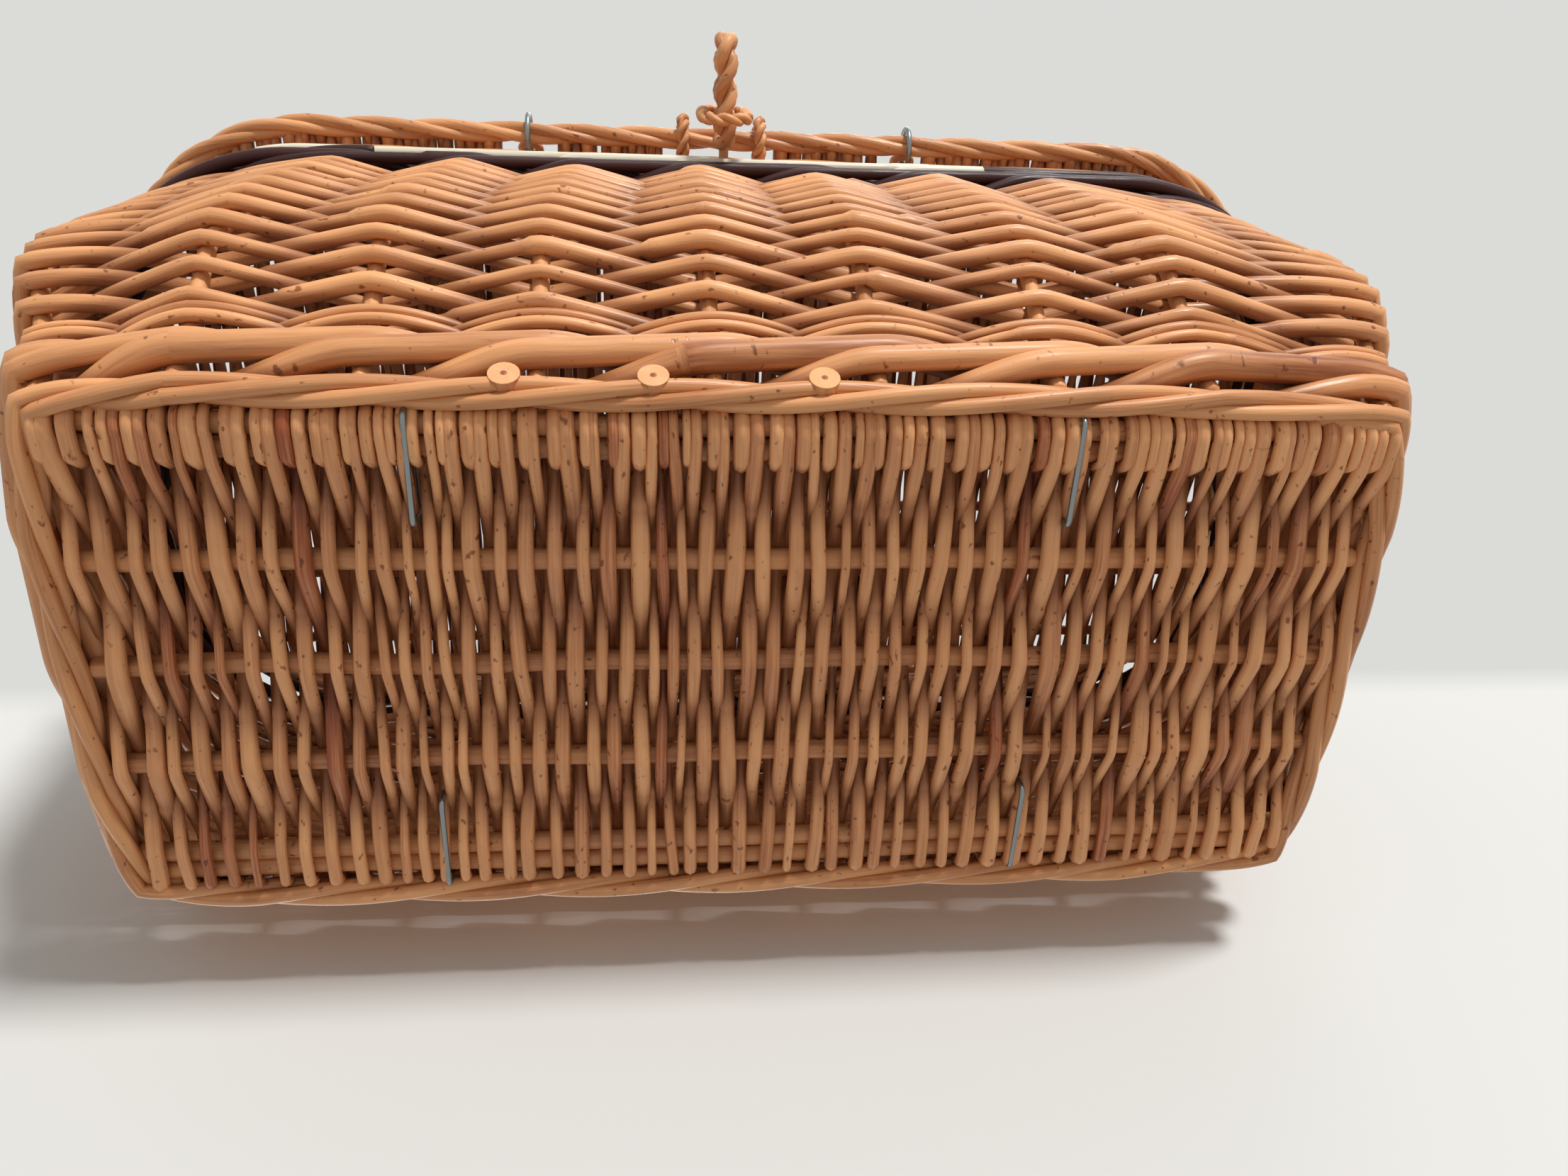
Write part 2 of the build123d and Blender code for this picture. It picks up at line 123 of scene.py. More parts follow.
# Lid
EDGE_RADIUS = 0.004           # half the thickness of the lid's edge rod
LID_INSET = 0.0043            # from the edge rod's middle in to the weaving
LID_BITE = 0.0026             # how far the lid's rods reach into its edge rope
LID_ROD = 0.0020
LID_STICKS = 7
LID_STICK_RADIUS = 0.0023
LID_STICK_SPARE = 0.003
LID_ENDS = 0.6                # how far past the outer sticks the rods' swing goes on, in sticks
LID_STRAIGHTEN = 0.8          # how much of their sideways drift the lid's rods lose
LID_ROPE = {"strands": 3, "spread": 0.0019, "radius": 0.0021, "period": 0.075}
NOTCH_SPARE = 0.001           # room in front of a notch's end
NOTCH_SIDE = 0.0028           # further room on each side of a hinge's or a ring's notch
HINGE_X = 0.098
HINGE_HALF = 0.0055           # half the width of a hinge's notch
HINGE_NOTCH = 0.0125
HINGE_WIRE = 0.0015           # half the thickness of a hinge loop
HINGE_BEND = 0.004
HINGE_ROPE = {"strands": 2, "spread": 0.0007, "radius": 0.0008, "period": 0.007}

# Fastening and handle
STAPLE_LENGTH = 0.042
STAPLE_ROPE = 0.0084
STAPLE_STRANDS = {"strands": 2, "spread": STAPLE_ROPE * 0.235, "radius": STAPLE_ROPE * 0.262, "period": 0.020}
STUB_RADIUS = 0.0018
STUB_ENDS = (0.002, 0.001)    # room between the staple's stem and its loop, and behind it
NEARLY_ROUND = 0.98           # radius of a loop's bends as a share of half its width
NECK_HALF = 0.0023            # half the thickness of the ring round the staple's neck
NECK_ROPE = {"strands": 2, "spread": 0.0011, "radius": 0.0013, "period": 0.011}
HASP_TURN = math.radians(28.0)
HASP_ROPE = 0.005
HASP_EYE = 0.024
HASP_REACH = 0.050
HASP_NOTCH = 0.020
HASP_SIDE = 0.004             # room beside the hasp in its notch
EYE_GAP = 0.0003              # running gap between an eye and the edge rod
HASP_STRANDS = {"strands": 2, "spread": 0.0012, "radius": 0.0014, "period": 0.012}
EYE_STRANDS = {"strands": 2, "spread": 0.0012, "radius": 0.0013, "period": 0.012}
HANDLE_NOTCH = 0.0155
HANDLE_REACH = 0.078
HANDLE_HALF = 0.005           # half the thickness of the handle's rope
HANDLE_BENDS = (0.0052, 0.028, 0.028, 0.0052)
HANDLE_ROPE = {"strands": 3, "spread": 0.0024, "radius": 0.0026, "period": 0.034}
HANDLE_EYE = (0.0033, 0.0032)   # radius of the handle's eye and thickness of its rod
HANDLE_EYE_OUT = 0.0034       # from the eye's middle to where the rope starts
RING_X = 0.072
RING_HALF = 0.0062            # half the width of a ring's notch
RING_RADIUS = 0.0075
RING_WIRE = 0.002

# Finish of the willow
GRAIN_LENGTH = 0.02           # metres of rod in one unit of the corner map
GRAIN_SHIFT = 0.37            # how far each rod's grain is moved on from the last one's
GRAIN_SEED = 61.0
GRAIN_DEPTH = 0.0006
SPECK_EDGE = (0.66, 0.73)     # noise at which a speck starts and is full
SPECK_PIT = 0.6
SPECK_SHADE = (0.42, 0.30, 0.22)
WEAR_EDGE = (0.38, 0.66)
STREAK_SHARE = 1.1
WEAR_SHARE = 0.18
TONE_MIDDLE = 0.62
TONES = ((0.0, 0.0), (0.35, 0.55), (0.65, 0.82), (1.0, 1.0))   # tone, and the light colour's share there
# Painted shade on rods in the weave's recesses: the "open" values where it is full and where it is gone, its
# strength, and its colour
PAINTED_SHADE_EDGE = (0.15, 0.85)
PAINTED_SHADE_SHARE = 0.75
PAINTED_SHADE_COLOUR = (0.30, 0.17, 0.10)

# Stage
FLOOR_FOOT = (0.0, 0.1168, 0.0)      # where the floor passes behind the lying basket's foot
FLOOR_RIM = (0.0, 0.1253, 0.170)     # and where it passes behind its rim
FLOOR_HALF = 6.0
FLOOR_FADE = (0.175, 0.200)   # the floor thins out where the open lid passes it
FLOOR_COLOUR = (0.57, 0.57, 0.55, 1.0)
BACKDROP = (0.71, 0.71, 0.69, 1.0)
SKY = (1.0, 0.99, 0.97, 1.0)
SKY_STRENGTH = 0.52
KEY_WAY = (0.35, 0.9, 0.40)   # towards the key lamp: right, up and towards the camera in its own view
KEY = (3.1, 10.0)             # strength, and width on the sky in degrees
TOP_WAY = (0.25, -0.35, 1.0)
TOP = (0.7, 40.0)
BACK_WAY = (-0.4, 1.0, 0.3)
BACK = (0.8, 60.0)
LENS = 27.99
SENSOR = 36.0
CAMERA_PLACE = (-0.0292, -0.1899, -0.3087)
CAMERA_RIGHT = (0.99364, -0.04810, -0.10184)
CAMERA_DOWN = (-0.00467, 0.88583, -0.46399)
CAMERA_AHEAD = (0.11253, 0.46151, 0.87997)


def stake_marks():
    """Where each stake stands round the outline: eight stretches, front straight first, then a corner."""
    front = [(share + 1) / 2 for share in LONG_SHARES]
    right = [2 + (share + 1) / 2 for share in SHORT_SHARES]
    back = [4 + (1 - share) / 2 for share in reversed(LONG_SHARES)]
    left = [6 + (1 - share) / 2 for share in reversed(SHORT_SHARES)]
    return np.array(front + [1.5] + right + [3.5] + back + [5.5] + left + [7.5])


STAKES = stake_marks()
COUNT = len(STAKES)


class BasketSizes(bpy.types.PropertyGroup):
    """Sizes of the basket that a user may change."""

    mat_length: FloatProperty(name="Bottom length", description="Woven bottom along X", default=0.375,
                              unit="LENGTH")
    mat_depth: FloatProperty(name="Bottom depth", description="Woven bottom along Y", default=0.161,
                             unit="LENGTH")
    mat_corner: FloatProperty(name="Bottom corner", description="Corner radius of the bottom", default=0.014,
                              unit="LENGTH")
    flare: FloatProperty(name="Flare", description="How far the wall leans out", default=0.031, unit="LENGTH")
    rise: FloatProperty(name="Rise", description="Height over which the wall leans out", default=0.058,
                        unit="LENGTH")
    stake_radius: FloatProperty(name="Stake radius", description="Radius of an upright stake", default=0.0026,
                                unit="LENGTH")
    rod_radius: FloatProperty(name="Rod radius", description="Usual radius of a weaving rod", default=0.0024,
                              unit="LENGTH")
    wall_rows: IntProperty(name="Wall rows", description="Rows of plain weaving in the wall", default=24)
    base_rods: IntProperty(name="Bottom rods", description="Rods woven across the bottom", default=100)
    base_radius: FloatProperty(name="Bottom rod radius", description="Usual radius of a rod in the bottom",
                               default=0.00205, unit="LENGTH")
    lid_rods: IntProperty(name="Lid rods", description="Rods woven across the lid", default=142)


class BasketColours(bpy.types.PropertyGroup):
    """Colours of the willow and the steel."""

    tan_dark: FloatVectorProperty(name="Tan shade", description="Darkest tan willow", subtype="COLOR",
                                  size=3, default=(0.28, 0.080, 0.024))
    tan_light: FloatVectorProperty(name="Tan light", description="Lightest tan willow", subtype="COLOR",
                                   size=3, default=(0.80, 0.385, 0.160))
    pale_dark: FloatVectorProperty(name="Pale shade", description="Darkest bottom rod", subtype="COLOR",
                                   size=3, default=(0.34, 0.080, 0.025))
    pale_light: FloatVectorProperty(name="Pale light", description="Lightest bottom rod", subtype="COLOR",
                                    size=3, default=(0.85, 0.420, 0.182))
    brown_dark: FloatVectorProperty(name="Brown shade", description="Darkest brown rod", subtype="COLOR",
                                    size=3, default=(0.010, 0.003, 0.003))
    brown_light: FloatVectorProperty(name="Brown light", description="Lightest brown rod", subtype="COLOR",
                                     size=3, default=(0.050, 0.015, 0.013))
    white_dark: FloatVectorProperty(name="White shade", description="Darkest peeled rod", subtype="COLOR",
                                    size=3, default=(0.58, 0.49, 0.33))
    white_light: FloatVectorProperty(name="White light", description="Lightest peeled rod", subtype="COLOR",
                                     size=3, default=(0.80, 0.75, 0.62))
    steel: FloatVectorProperty(name="Steel", description="Wire ties and rings", subtype="COLOR",
                               size=3, default=(0.26, 0.28, 0.28))


def sizes():
    """The sizes as they are set in the sidebar."""
    return bpy.context.scene.basket_sizes


def edge():
    """Stakes' middle to the nearest weaving face or the bottom's edge."""
    return sizes().stake_radius + EDGE_GAP


def lean(z):
    """Outward lean at height z: flare * (1 - exp(-(z / rise) ^ swell))."""
    return sizes().flare * (1.0 - np.exp(-((np.maximum(z, 0.0) / sizes().rise) ** SWELL)))


def slant(z):
    """Length along the wall gained per unit of height: sqrt(1 + slope squared)."""
    return np.hypot(1.0, (lean(z + 5e-4) - lean(z - 5e-4)) / 1e-3)


def plan(z):
    """Half length, half depth and corner radius of the stakes' outline at height z."""
    out = edge() + lean(z)
    s = sizes()
    bend = CORNER_GROWTH * lean(z) + CORNER_LATE * max(float(z) - CORNER_FROM, 0.0)
    return s.mat_length / 2 + out, s.mat_depth / 2 + out, s.mat_corner + bend + edge()


def outline(g, half_x, half_y, radius, middle_y=0.0):
    """Point and outward normal on a rounded rectangle: corner centre + radius * (cos a, sin a)."""
    a, b = half_x - radius, half_y - radius
    corners = np.array([(-a, -b), (a, -b), (a, b), (-a, b), (-a, -b)])
    g = np.mod(g, 8.0)
    stretch = np.minimum(g.astype(int), 7)
    share = g - stretch
    side = stretch // 2
    bend = stretch % 2
    centre = np.where(bend[..., None] == 1, corners[side + 1],
                      corners[side] + share[..., None] * (corners[side + 1] - corners[side]))
    angle = np.radians(-90.0 + 90.0 * (side + share * bend))
    normal = np.stack([np.cos(angle), np.sin(angle)], -1)
    point = centre + radius * normal
    return point + np.array([0.0, middle_y]), normal


def stretches(half_x, half_y, radius):
    """Running length at the start of each of the eight stretches."""
    long, short, bend = 2 * (half_x - radius), 2 * (half_y - radius), math.pi * radius / 2
    return np.concatenate([[0.0], np.cumsum([long, bend, short, bend] * 2)])


def around(t, z, offset, rise=0.0):
    """Points and outward normals round the basket, t counted in stakes: outline(t) + offset * normal.

    Low down, FACET moves the outline towards the straight lines from stake to stake, as rods run."""
    half_x, half_y, radius = plan(z)
    marks = stretches(half_x, half_y, radius)
    at = np.interp(STAKES, np.arange(9), marks)
    total = marks[-1]
    counts = np.arange(-1, COUNT + 1)
    places = np.concatenate([[at[-1] - total], at, [at[0] + total]])
    s = np.mod(np.interp(np.mod(t, COUNT), counts, places), total)
    point, normal = outline(np.interp(s, marks, np.arange(9)), half_x, half_y, radius)
    knots, knot_normals = outline(STAKES, half_x, half_y, radius)
    first = np.mod(np.floor(t).astype(int), COUNT)
    share = (t - np.floor(t))[..., None]
    straight = knots[first] * (1 - share) + knots[(first + 1) % COUNT] * share
    facing = knot_normals[first] * (1 - share) + knot_normals[(first + 1) % COUNT] * share
    facet = FACET * np.clip((FACET_END - z) / (FACET_END - FACET_FROM), 0.0, 1.0)
    point = point + facet * (straight - point)
    normal = unit(normal + facet * (facing - normal))
    reach = offset * slant(z) + lean(z + rise) - lean(z)
    flat = point + normal * np.broadcast_to(reach, t.shape)[..., None]
    centre = np.concatenate([flat, np.broadcast_to(z + rise, t.shape)[..., None]], -1)
    out = np.concatenate([normal, np.zeros(t.shape + (1,))], -1)
    return centre, out


def unit(v):
    """Vectors at length 1."""
    return v / np.maximum(np.linalg.norm(v, axis=-1, keepdims=True), 1e-12)


def waves(rng, t, count, size, length):
    """Slow wander for count rods: a sum of sines with random phases, size high, about length long."""
    shape = (count, 1, 5)
    phase = rng.uniform(0, 2 * math.pi, shape)
    pace = rng.uniform(0.4, 1.6, shape) * 2 * math.pi / length
    level = rng.uniform(0.2, 1.0, shape)
    return size * 0.5 * np.sum(level * np.sin(np.atleast_2d(t)[..., None] * pace + phase), -1)


def padded(rows):
    """Rows with their first and last entries twice more, for the rounded ends of open rods."""
    return np.concatenate([rows[:, :1], rows[:, :1], rows, rows[:, -1:], rows[:, -1:]], 1)


def carry(mesh, name, values):
    """Gives the mesh one value at each point, for its material to read."""
    mark = mesh.attributes.new(name, "FLOAT", "POINT")
    mark.data.foreach_set("value", np.ascontiguousarray(values, dtype=np.float32).ravel())


def rods(name, centre, radius, out, tint, sides=8, closed=False, core=None, depth=1.0):
    """Round rods as one surface: centre + radius * (cos a * n + sin a * b), n outwards and b across the rod.

    Tint is one value for each rod or one for each of its points. With a core surface given as points and
    normals, the attribute "open" is distance from it / depth, and the material paints shade where it is low,
    on rods in the weave's recesses."""
    tint = np.broadcast_to(np.reshape(tint, (len(centre), -1)), radius.shape)
    if not closed:
        ahead = unit(centre[:, -1:] - centre[:, -2:-1]) * radius[:, -1:, None] * ROD_END
        back = unit(centre[:, :1] - centre[:, 1:2]) * radius[:, :1, None] * ROD_END
        centre, radius, out, tint = (padded(a) for a in (centre, radius, out, tint))
        core = core and [padded(a) for a in core]
        centre[:, :2] += back
        centre[:, -2:] += ahead
        radius[:, :2] *= ROD_TIP
        radius[:, -2:] *= ROD_TIP[::-1]
    if closed:
        along = np.roll(centre, -1, 1) - np.roll(centre, 1, 1)
    else:
        along = np.gradient(centre, axis=1)
        along[:, :2], along[:, -2:] = along[:, 2:3], along[:, -3:-2]
    along = unit(along)
    across = unit(np.cross(along, out))
    lift = np.cross(across, along)
    count, steps = radius.shape
    angle = np.linspace(0, 2 * math.pi, sides, endpoint=False)
    cos, sin = np.cos(angle)[:, None], np.sin(angle)[:, None]
    ring = centre[:, :, None] + radius[:, :, None, None] * (cos * lift[:, :, None] + sin * across[:, :, None])
    index = np.arange(count * steps * sides).reshape(count, steps, sides)
    here = index if closed else index[:, :-1]
    ahead = np.roll(index, -1, 1) if closed else index[:, 1:]
    faces = np.stack([here, np.roll(here, -1, 2), np.roll(ahead, -1, 2), ahead], -1).reshape(-1, 4)
    gaps = np.linalg.norm(np.diff(centre, axis=1, append=centre[:, :1]), axis=-1)
    run = np.concatenate([np.zeros((count, 1)), np.cumsum(gaps, 1)], 1)
    run = run + np.arange(count)[:, None] * GRAIN_SHIFT
    last = steps if closed else steps - 1
    u0 = np.broadcast_to(run[:, :last, None], (count, last, sides)) / GRAIN_LENGTH
    u1 = np.broadcast_to(run[:, 1:last + 1, None], (count, last, sides)) / GRAIN_LENGTH
    v0 = np.broadcast_to(np.arange(sides) / sides, (count, last, sides))
    v1 = v0 + 1.0 / sides
    uv = np.stack([np.stack(pair, -1) for pair in ((u0, v0), (u0, v1), (u1, v1), (u1, v0))], -2)
    mesh = bpy.data.meshes.new(name)
    mesh.from_pydata(ring.reshape(-1, 3), [], faces)
    layer = mesh.uv_layers.new(name="UVMap")
    layer.data.foreach_set("uv", uv.astype(np.float32).ravel())
    carry(mesh, "tint", np.broadcast_to(tint[..., None], index.shape))
    # the "open" share drives the painted shade: points near the core surface, inside the weave, are darkened
    # by the material
    open_share = np.ones(index.shape)
    if core:
        points, normals = core
        away = np.abs(np.sum((ring - points[:, :, None]) * normals[:, :, None], -1))
        open_share = np.clip(away / depth, 0.0, 1.0)
    carry(mesh, "open", open_share)
    mesh.polygons.foreach_set("use_smooth", np.ones(len(faces), dtype=bool))
    mesh.update()
    return mesh


def joined(name, meshes):
    """One mesh made of several, with their corner maps and the values that they carry."""
    parts = [bpy.data.objects.new(name + "_part", m) for m in meshes]
    for o in parts:
        bpy.context.scene.collection.objects.link(o)
    with bpy.context.temp_override(active_object=parts[0], selected_editable_objects=parts, object=parts[0],
                                   selected_objects=parts):
        bpy.ops.object.join()
    mesh = parts[0].data
    bpy.data.objects.remove(parts[0])
    mesh.name = name
    return mesh


def show(name, mesh, material, body, nodes):
    """Puts a finished surface into the scene and ties it to the frame."""
    old = bpy.data.objects.get(name)
    if old:
        bpy.data.objects.remove(old)
    obj = bpy.data.objects.new(name, mesh)
    bpy.context.scene.collection.objects.link(obj)
    mesh.materials.clear()
    mesh.materials.append(material)
    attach(obj, body)
    if nodes:
        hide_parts(*nodes)
    return obj


def path_round(corners, radii, closed, step=0.0008):
    """A smooth path: straight runs joined by arcs, with a point about every step along its length."""
    corners = [np.asarray(c, float) for c in corners]
    count = len(corners)
    line = [] if closed else [corners[0]]
    for i in range(count) if closed else range(1, count - 1):
        here, before, after = corners[i], corners[i - 1], corners[(i + 1) % count]
        u, v = unit(before - here), unit(after - here)
        half = math.acos(max(-1.0, min(1.0, float(u @ v)))) / 2
        radius = radii[i] if closed else radii[i - 1]
        cut = radius / math.tan(half)
        middle = here + unit(u + v) * radius / math.sin(half)
        a, b = here + u * cut - middle, here + v * cut - middle
        sweep = math.pi - 2 * half
        f = np.linspace(0, 1, 16)[:, None]
        line.extend(middle + (np.sin((1 - f) * sweep) * a + np.sin(f * sweep) * b) / math.sin(sweep))
    line = np.array(line + ([line[0]] if closed else [corners[-1]]))
    run = np.concatenate([[0], np.cumsum(np.linalg.norm(np.diff(line, axis=0), axis=1))])
    samples = max(int(run[-1] / step), 8)
    at = np.linspace(0, run[-1], samples, endpoint=not closed)
    return np.stack([np.interp(at, run, line[:, k]) for k in range(3)], -1)


def twist(path, side, strands, spread, period, closed):
    """Strands wound round a path: path + spread * (cos p * side + sin p * across), one turn of p a period."""
    along = np.roll(path, -1, 0) - np.roll(path, 1, 0) if closed else np.gradient(path, axis=0)
    along = unit(along)
    side = unit(np.broadcast_to(np.asarray(side, float), path.shape))
    side = unit(side - along * np.sum(side * along, -1, keepdims=True))
    across = np.cross(along, side)
    gaps = np.linalg.norm(np.diff(path, axis=0, append=path[:1] if closed else path[-1:]), axis=-1)
    run = np.concatenate([[0], np.cumsum(gaps)[:-1]])
    total = gaps.sum()
    turns = max(round(total / period), 1) if closed else total / period
    phase = 2 * math.pi * (turns * run / total + np.arange(strands)[:, None] / strands)
    out = np.cos(phase)[..., None] * side + np.sin(phase)[..., None] * across
    return path + spread * out, out


def rope_mesh(name, path, side, strands, spread, radius, period, closed, rng, sides=8):
    """A twisted rope with its strands slightly uneven."""
    centre, out = twist(path, side, strands, spread, period, closed)
    wide = np.full(centre.shape[:2], radius)
    return rods(name, centre, wide, out, rng.uniform(0.3, 0.8, strands), sides, closed)


def torus_mesh(name, middle, normal, radius, wire, steps=48, sides=10):
    """A ring: middle + radius * (cos a * p + sin a * q), with a round wire along it."""
    normal = unit(np.asarray(normal, float))
    p = unit(np.cross(normal, (0.3, 0.5, 0.8)))
    q = np.cross(normal, p)
    a = np.linspace(0, 2 * math.pi, steps, endpoint=False)[:, None]
    out = np.cos(a) * p + np.sin(a) * q
    centre = np.asarray(middle) + radius * out
    return rods(name, centre[None], np.full((1, steps), wire / 2), out[None], [0.5], sides, True)


def group_tree(name, outputs, inputs):
    """A shared node group with named sockets for plain values, made once."""
    old = bpy.data.node_groups.get(name)
    if old:
        return old, True
    tree = bpy.data.node_groups.new(name, "ShaderNodeTree")
    for title, value in inputs.items():
        socket = tree.interface.new_socket(title, in_out="INPUT", socket_type="NodeSocketFloat")
        socket.default_value = value
    for title in outputs:
        tree.interface.new_socket(title, in_out="OUTPUT", socket_type="NodeSocketFloat")
    return tree, False


def worked(tree, operation, *values):
    """A maths node on one to three values, each a plain number or a socket that is linked."""
    node = tree.nodes.new("ShaderNodeMath")
    node.operation = operation
    for socket, value in zip(node.inputs, values):
        if isinstance(value, bpy.types.NodeSocket):
            tree.links.new(value, socket)
        else:
            socket.default_value = value
    return node.outputs[0]


def ranged(tree, value, low, high, start=0.0, end=1.0, kind="LINEAR"):
    """A value taken from the range low to high over to the range start to end."""
    node = tree.nodes.new("ShaderNodeMapRange")
    node.interpolation_type = kind
    for title, number in (("From Min", low), ("From Max", high), ("To Min", start), ("To Max", end)):
        node.inputs[title].default_value = number
    tree.links.new(value, node.inputs["Value"])
    return node.outputs["Result"]


def carried(tree, name):
    """The value that a mesh carries under this name at each point."""
    node = tree.nodes.new("ShaderNodeAttribute")
    node.attribute_name = name
    return node.outputs["Fac"]


def darkened(tree, share, colour, shade):
    """A colour multiplied by a shade: colour * (1 - share + share * shade)."""
    node = tree.nodes.new("ShaderNodeMix")
    node.data_type = "RGBA"
    node.blend_type = "MULTIPLY"
    tree.links.new(share, node.inputs[0])
    tree.links.new(colour, node.inputs[6])
    node.inputs[7].default_value = (*shade, 1.0)
    return node.outputs[2]


def grain_group():
    """Streaks along a rod, specks and scars, from its corner map and its tint."""
    tree, made = group_tree("Willow grain", ["Streak", "Speck", "Height"], {"Speck size": 1.0})
    if made:
        return tree
    link = tree.links.new
    entry, leave = tree.nodes.new("NodeGroupInput"), tree.nodes.new("NodeGroupOutput")
    along = tree.nodes.new("ShaderNodeTexCoord").outputs["UV"]
    seed = worked(tree, "MULTIPLY", carried(tree, "tint"), GRAIN_SEED)

    def noise(stretch, detail, scale, rough=0.55):
        """Noise stretched along and round the rod, and different on each tint."""
        mapping = tree.nodes.new("ShaderNodeMapping")
        mapping.inputs["Scale"].default_value = (*stretch, 1.0)
        link(along, mapping.inputs["Vector"])
        texture = tree.nodes.new("ShaderNodeTexNoise")
        texture.noise_dimensions = "4D"
        texture.inputs["Detail"].default_value = detail
        texture.inputs["Scale"].default_value = scale
        texture.inputs["Roughness"].default_value = rough
        link(mapping.outputs["Vector"], texture.inputs["Vector"])
        link(seed, texture.inputs["W"])
        return texture.outputs["Fac"]

    link(noise((0.35, 9.0), 4.0, 1.6), leave.inputs["Streak"])
    speck = worked(tree, "MULTIPLY", noise((3.5, 3.2), 2.0, 1.9, 0.4), entry.outputs["Speck size"])
    speck = ranged(tree, speck, *SPECK_EDGE)
    link(speck, leave.inputs["Speck"])
    height = worked(tree, "MULTIPLY_ADD", speck, -SPECK_PIT, noise((1.0, 14.0), 3.0, 2.2))
    link(height, leave.inputs["Height"])
    return tree


def wear_group():
    """Patches where the surface has worn rough: broad cloudy noise in object space."""
    tree, made = group_tree("Wear", ["Wear", "Roughness"], {"Smooth": 0.34, "Rough": 0.62})
    if made:
        return tree
    link = tree.links.new
    entry, leave = tree.nodes.new("NodeGroupInput"), tree.nodes.new("NodeGroupOutput")
    place = tree.nodes.new("ShaderNodeTexCoord")
    cloud = tree.nodes.new("ShaderNodeTexNoise")
    cloud.inputs["Scale"].default_value = 24.0
    cloud.inputs["Detail"].default_value = 5.0
    link(place.outputs["Object"], cloud.inputs["Vector"])
    wear = ranged(tree, cloud.outputs["Fac"], *WEAR_EDGE)
    link(wear, leave.inputs["Wear"])
    blend = tree.nodes.new("ShaderNodeMix")
    link(wear, blend.inputs[0])
    link(entry.outputs["Smooth"], blend.inputs[2])
    link(entry.outputs["Rough"], blend.inputs[3])
    link(blend.outputs[0], leave.inputs["Roughness"])
    return tree


def placed(tree, group, **values):
    """A shared group placed in a material, with the material's own values."""
    node = tree.nodes.new("ShaderNodeGroup")
    node.node_tree = group
    for title, value in values.items():
        node.inputs[title.replace("_", " ")].default_value = value
    return node


def willow(name, dark, light, speck=1.0, relief=0.25, gloss=0.12):
    """A varnished willow material: rod tint, streaks and wear pick a tone between two colours.

    Tone = streak * STREAK_SHARE + tint + wear * WEAR_SHARE - TONE_MIDDLE; the colour is darker in specks and
    has painted shade in the weave's recesses."""
    old = bpy.data.materials.get(name)
    if old:
        return old
    material = bpy.data.materials.new(name)
    material.use_nodes = True
    tree = material.node_tree
    link = tree.links.new
    shader = tree.nodes["Principled BSDF"]
    grain = placed(tree, grain_group(), Speck_size=speck)
    wear = placed(tree, wear_group())
    tone = worked(tree, "MULTIPLY_ADD", grain.outputs["Streak"], STREAK_SHARE, carried(tree, "tint"))
    tone = worked(tree, "MULTIPLY_ADD", wear.outputs["Wear"], WEAR_SHARE, tone)
    tone = worked(tree, "ADD", tone, -TONE_MIDDLE)
    ramp = tree.nodes.new("ShaderNodeValToRGB")
    link(tone, ramp.inputs["Fac"])
    dark, light = np.array(dark), np.array(light)
    while len(ramp.color_ramp.elements) < len(TONES):
        ramp.color_ramp.elements.new(0.5)
    for element, (place, share) in zip(ramp.color_ramp.elements, TONES):
        element.position = place
        element.color = (*(dark * (1 - share) + light * share), 1.0)
    colour = darkened(tree, grain.outputs["Speck"], ramp.outputs["Color"], SPECK_SHADE)
    # painted shade: rods whose "open" value is low, inside the weave, are darkened towards a brown shade
    # colour
    painted_shade = ranged(tree, carried(tree, "open"), *PAINTED_SHADE_EDGE, PAINTED_SHADE_SHARE, 0.0, "SMOOTHSTEP")
    colour = darkened(tree, painted_shade, colour, PAINTED_SHADE_COLOUR)
    link(colour, shader.inputs["Base Color"])
    link(wear.outputs["Roughness"], shader.inputs["Roughness"])
    bump = tree.nodes.new("ShaderNodeBump")
    bump.inputs["Strength"].default_value = relief
    bump.inputs["Distance"].default_value = GRAIN_DEPTH
    link(grain.outputs["Height"], bump.inputs["Height"])
    link(bump.outputs["Normal"], shader.inputs["Normal"])
    shader.inputs["Specular IOR Level"].default_value = 0.2 + gloss
    shader.inputs["Coat Weight"].default_value = gloss
    shader.inputs["Coat Roughness"].default_value = 0.25
    return material


def tan():
    """Varnished willow of the walls, the lid and the ropes."""
    c = bpy.context.scene.basket_colours
    return willow("tan_willow", c.tan_dark, c.tan_light)


def pale():
    """Varnished willow of the bottom, with more specks and a rougher grain."""
    c = bpy.context.scene.basket_colours
    return willow("pale_willow", c.pale_dark, c.pale_light, speck=1.02, relief=0.35)


def brown():
    """Dark willow of the rounds under the rim, nearly matt."""
    c = bpy.context.scene.basket_colours
    return willow("brown_willow", c.brown_dark, c.brown_light, speck=0.9, gloss=0.02)


def white():
    """Peeled willow of the light round at the rim."""
    c = bpy.context.scene.basket_colours
    return willow("white_willow", c.white_dark, c.white_light, speck=0.9)


def steel():
    """Dull steel wire with worn patches."""
    old = bpy.data.materials.get("steel_wire")
    if old:
        return old
    material = bpy.data.materials.new("steel_wire")
    material.use_nodes = True
    tree = material.node_tree
    shader = tree.nodes["Principled BSDF"]
    wear = placed(tree, wear_group(), Smooth=0.28, Rough=0.5)
    tree.links.new(wear.outputs["Roughness"], shader.inputs["Roughness"])
    shader.inputs["Base Color"].default_value = (*bpy.context.scene.basket_colours.steel, 1.0)
    shader.inputs["Metallic"].default_value = 1.0
    return material


def reach_at(x, half_x, half_y, radius):
    """Half depth of a rounded rectangle at x: half_y - radius + sqrt(radius^2 - past^2)."""
    past = np.maximum(np.abs(x) - (half_x - radius), 0.0)
    return half_y - radius + np.sqrt(np.maximum(radius ** 2 - past ** 2, 0.0))


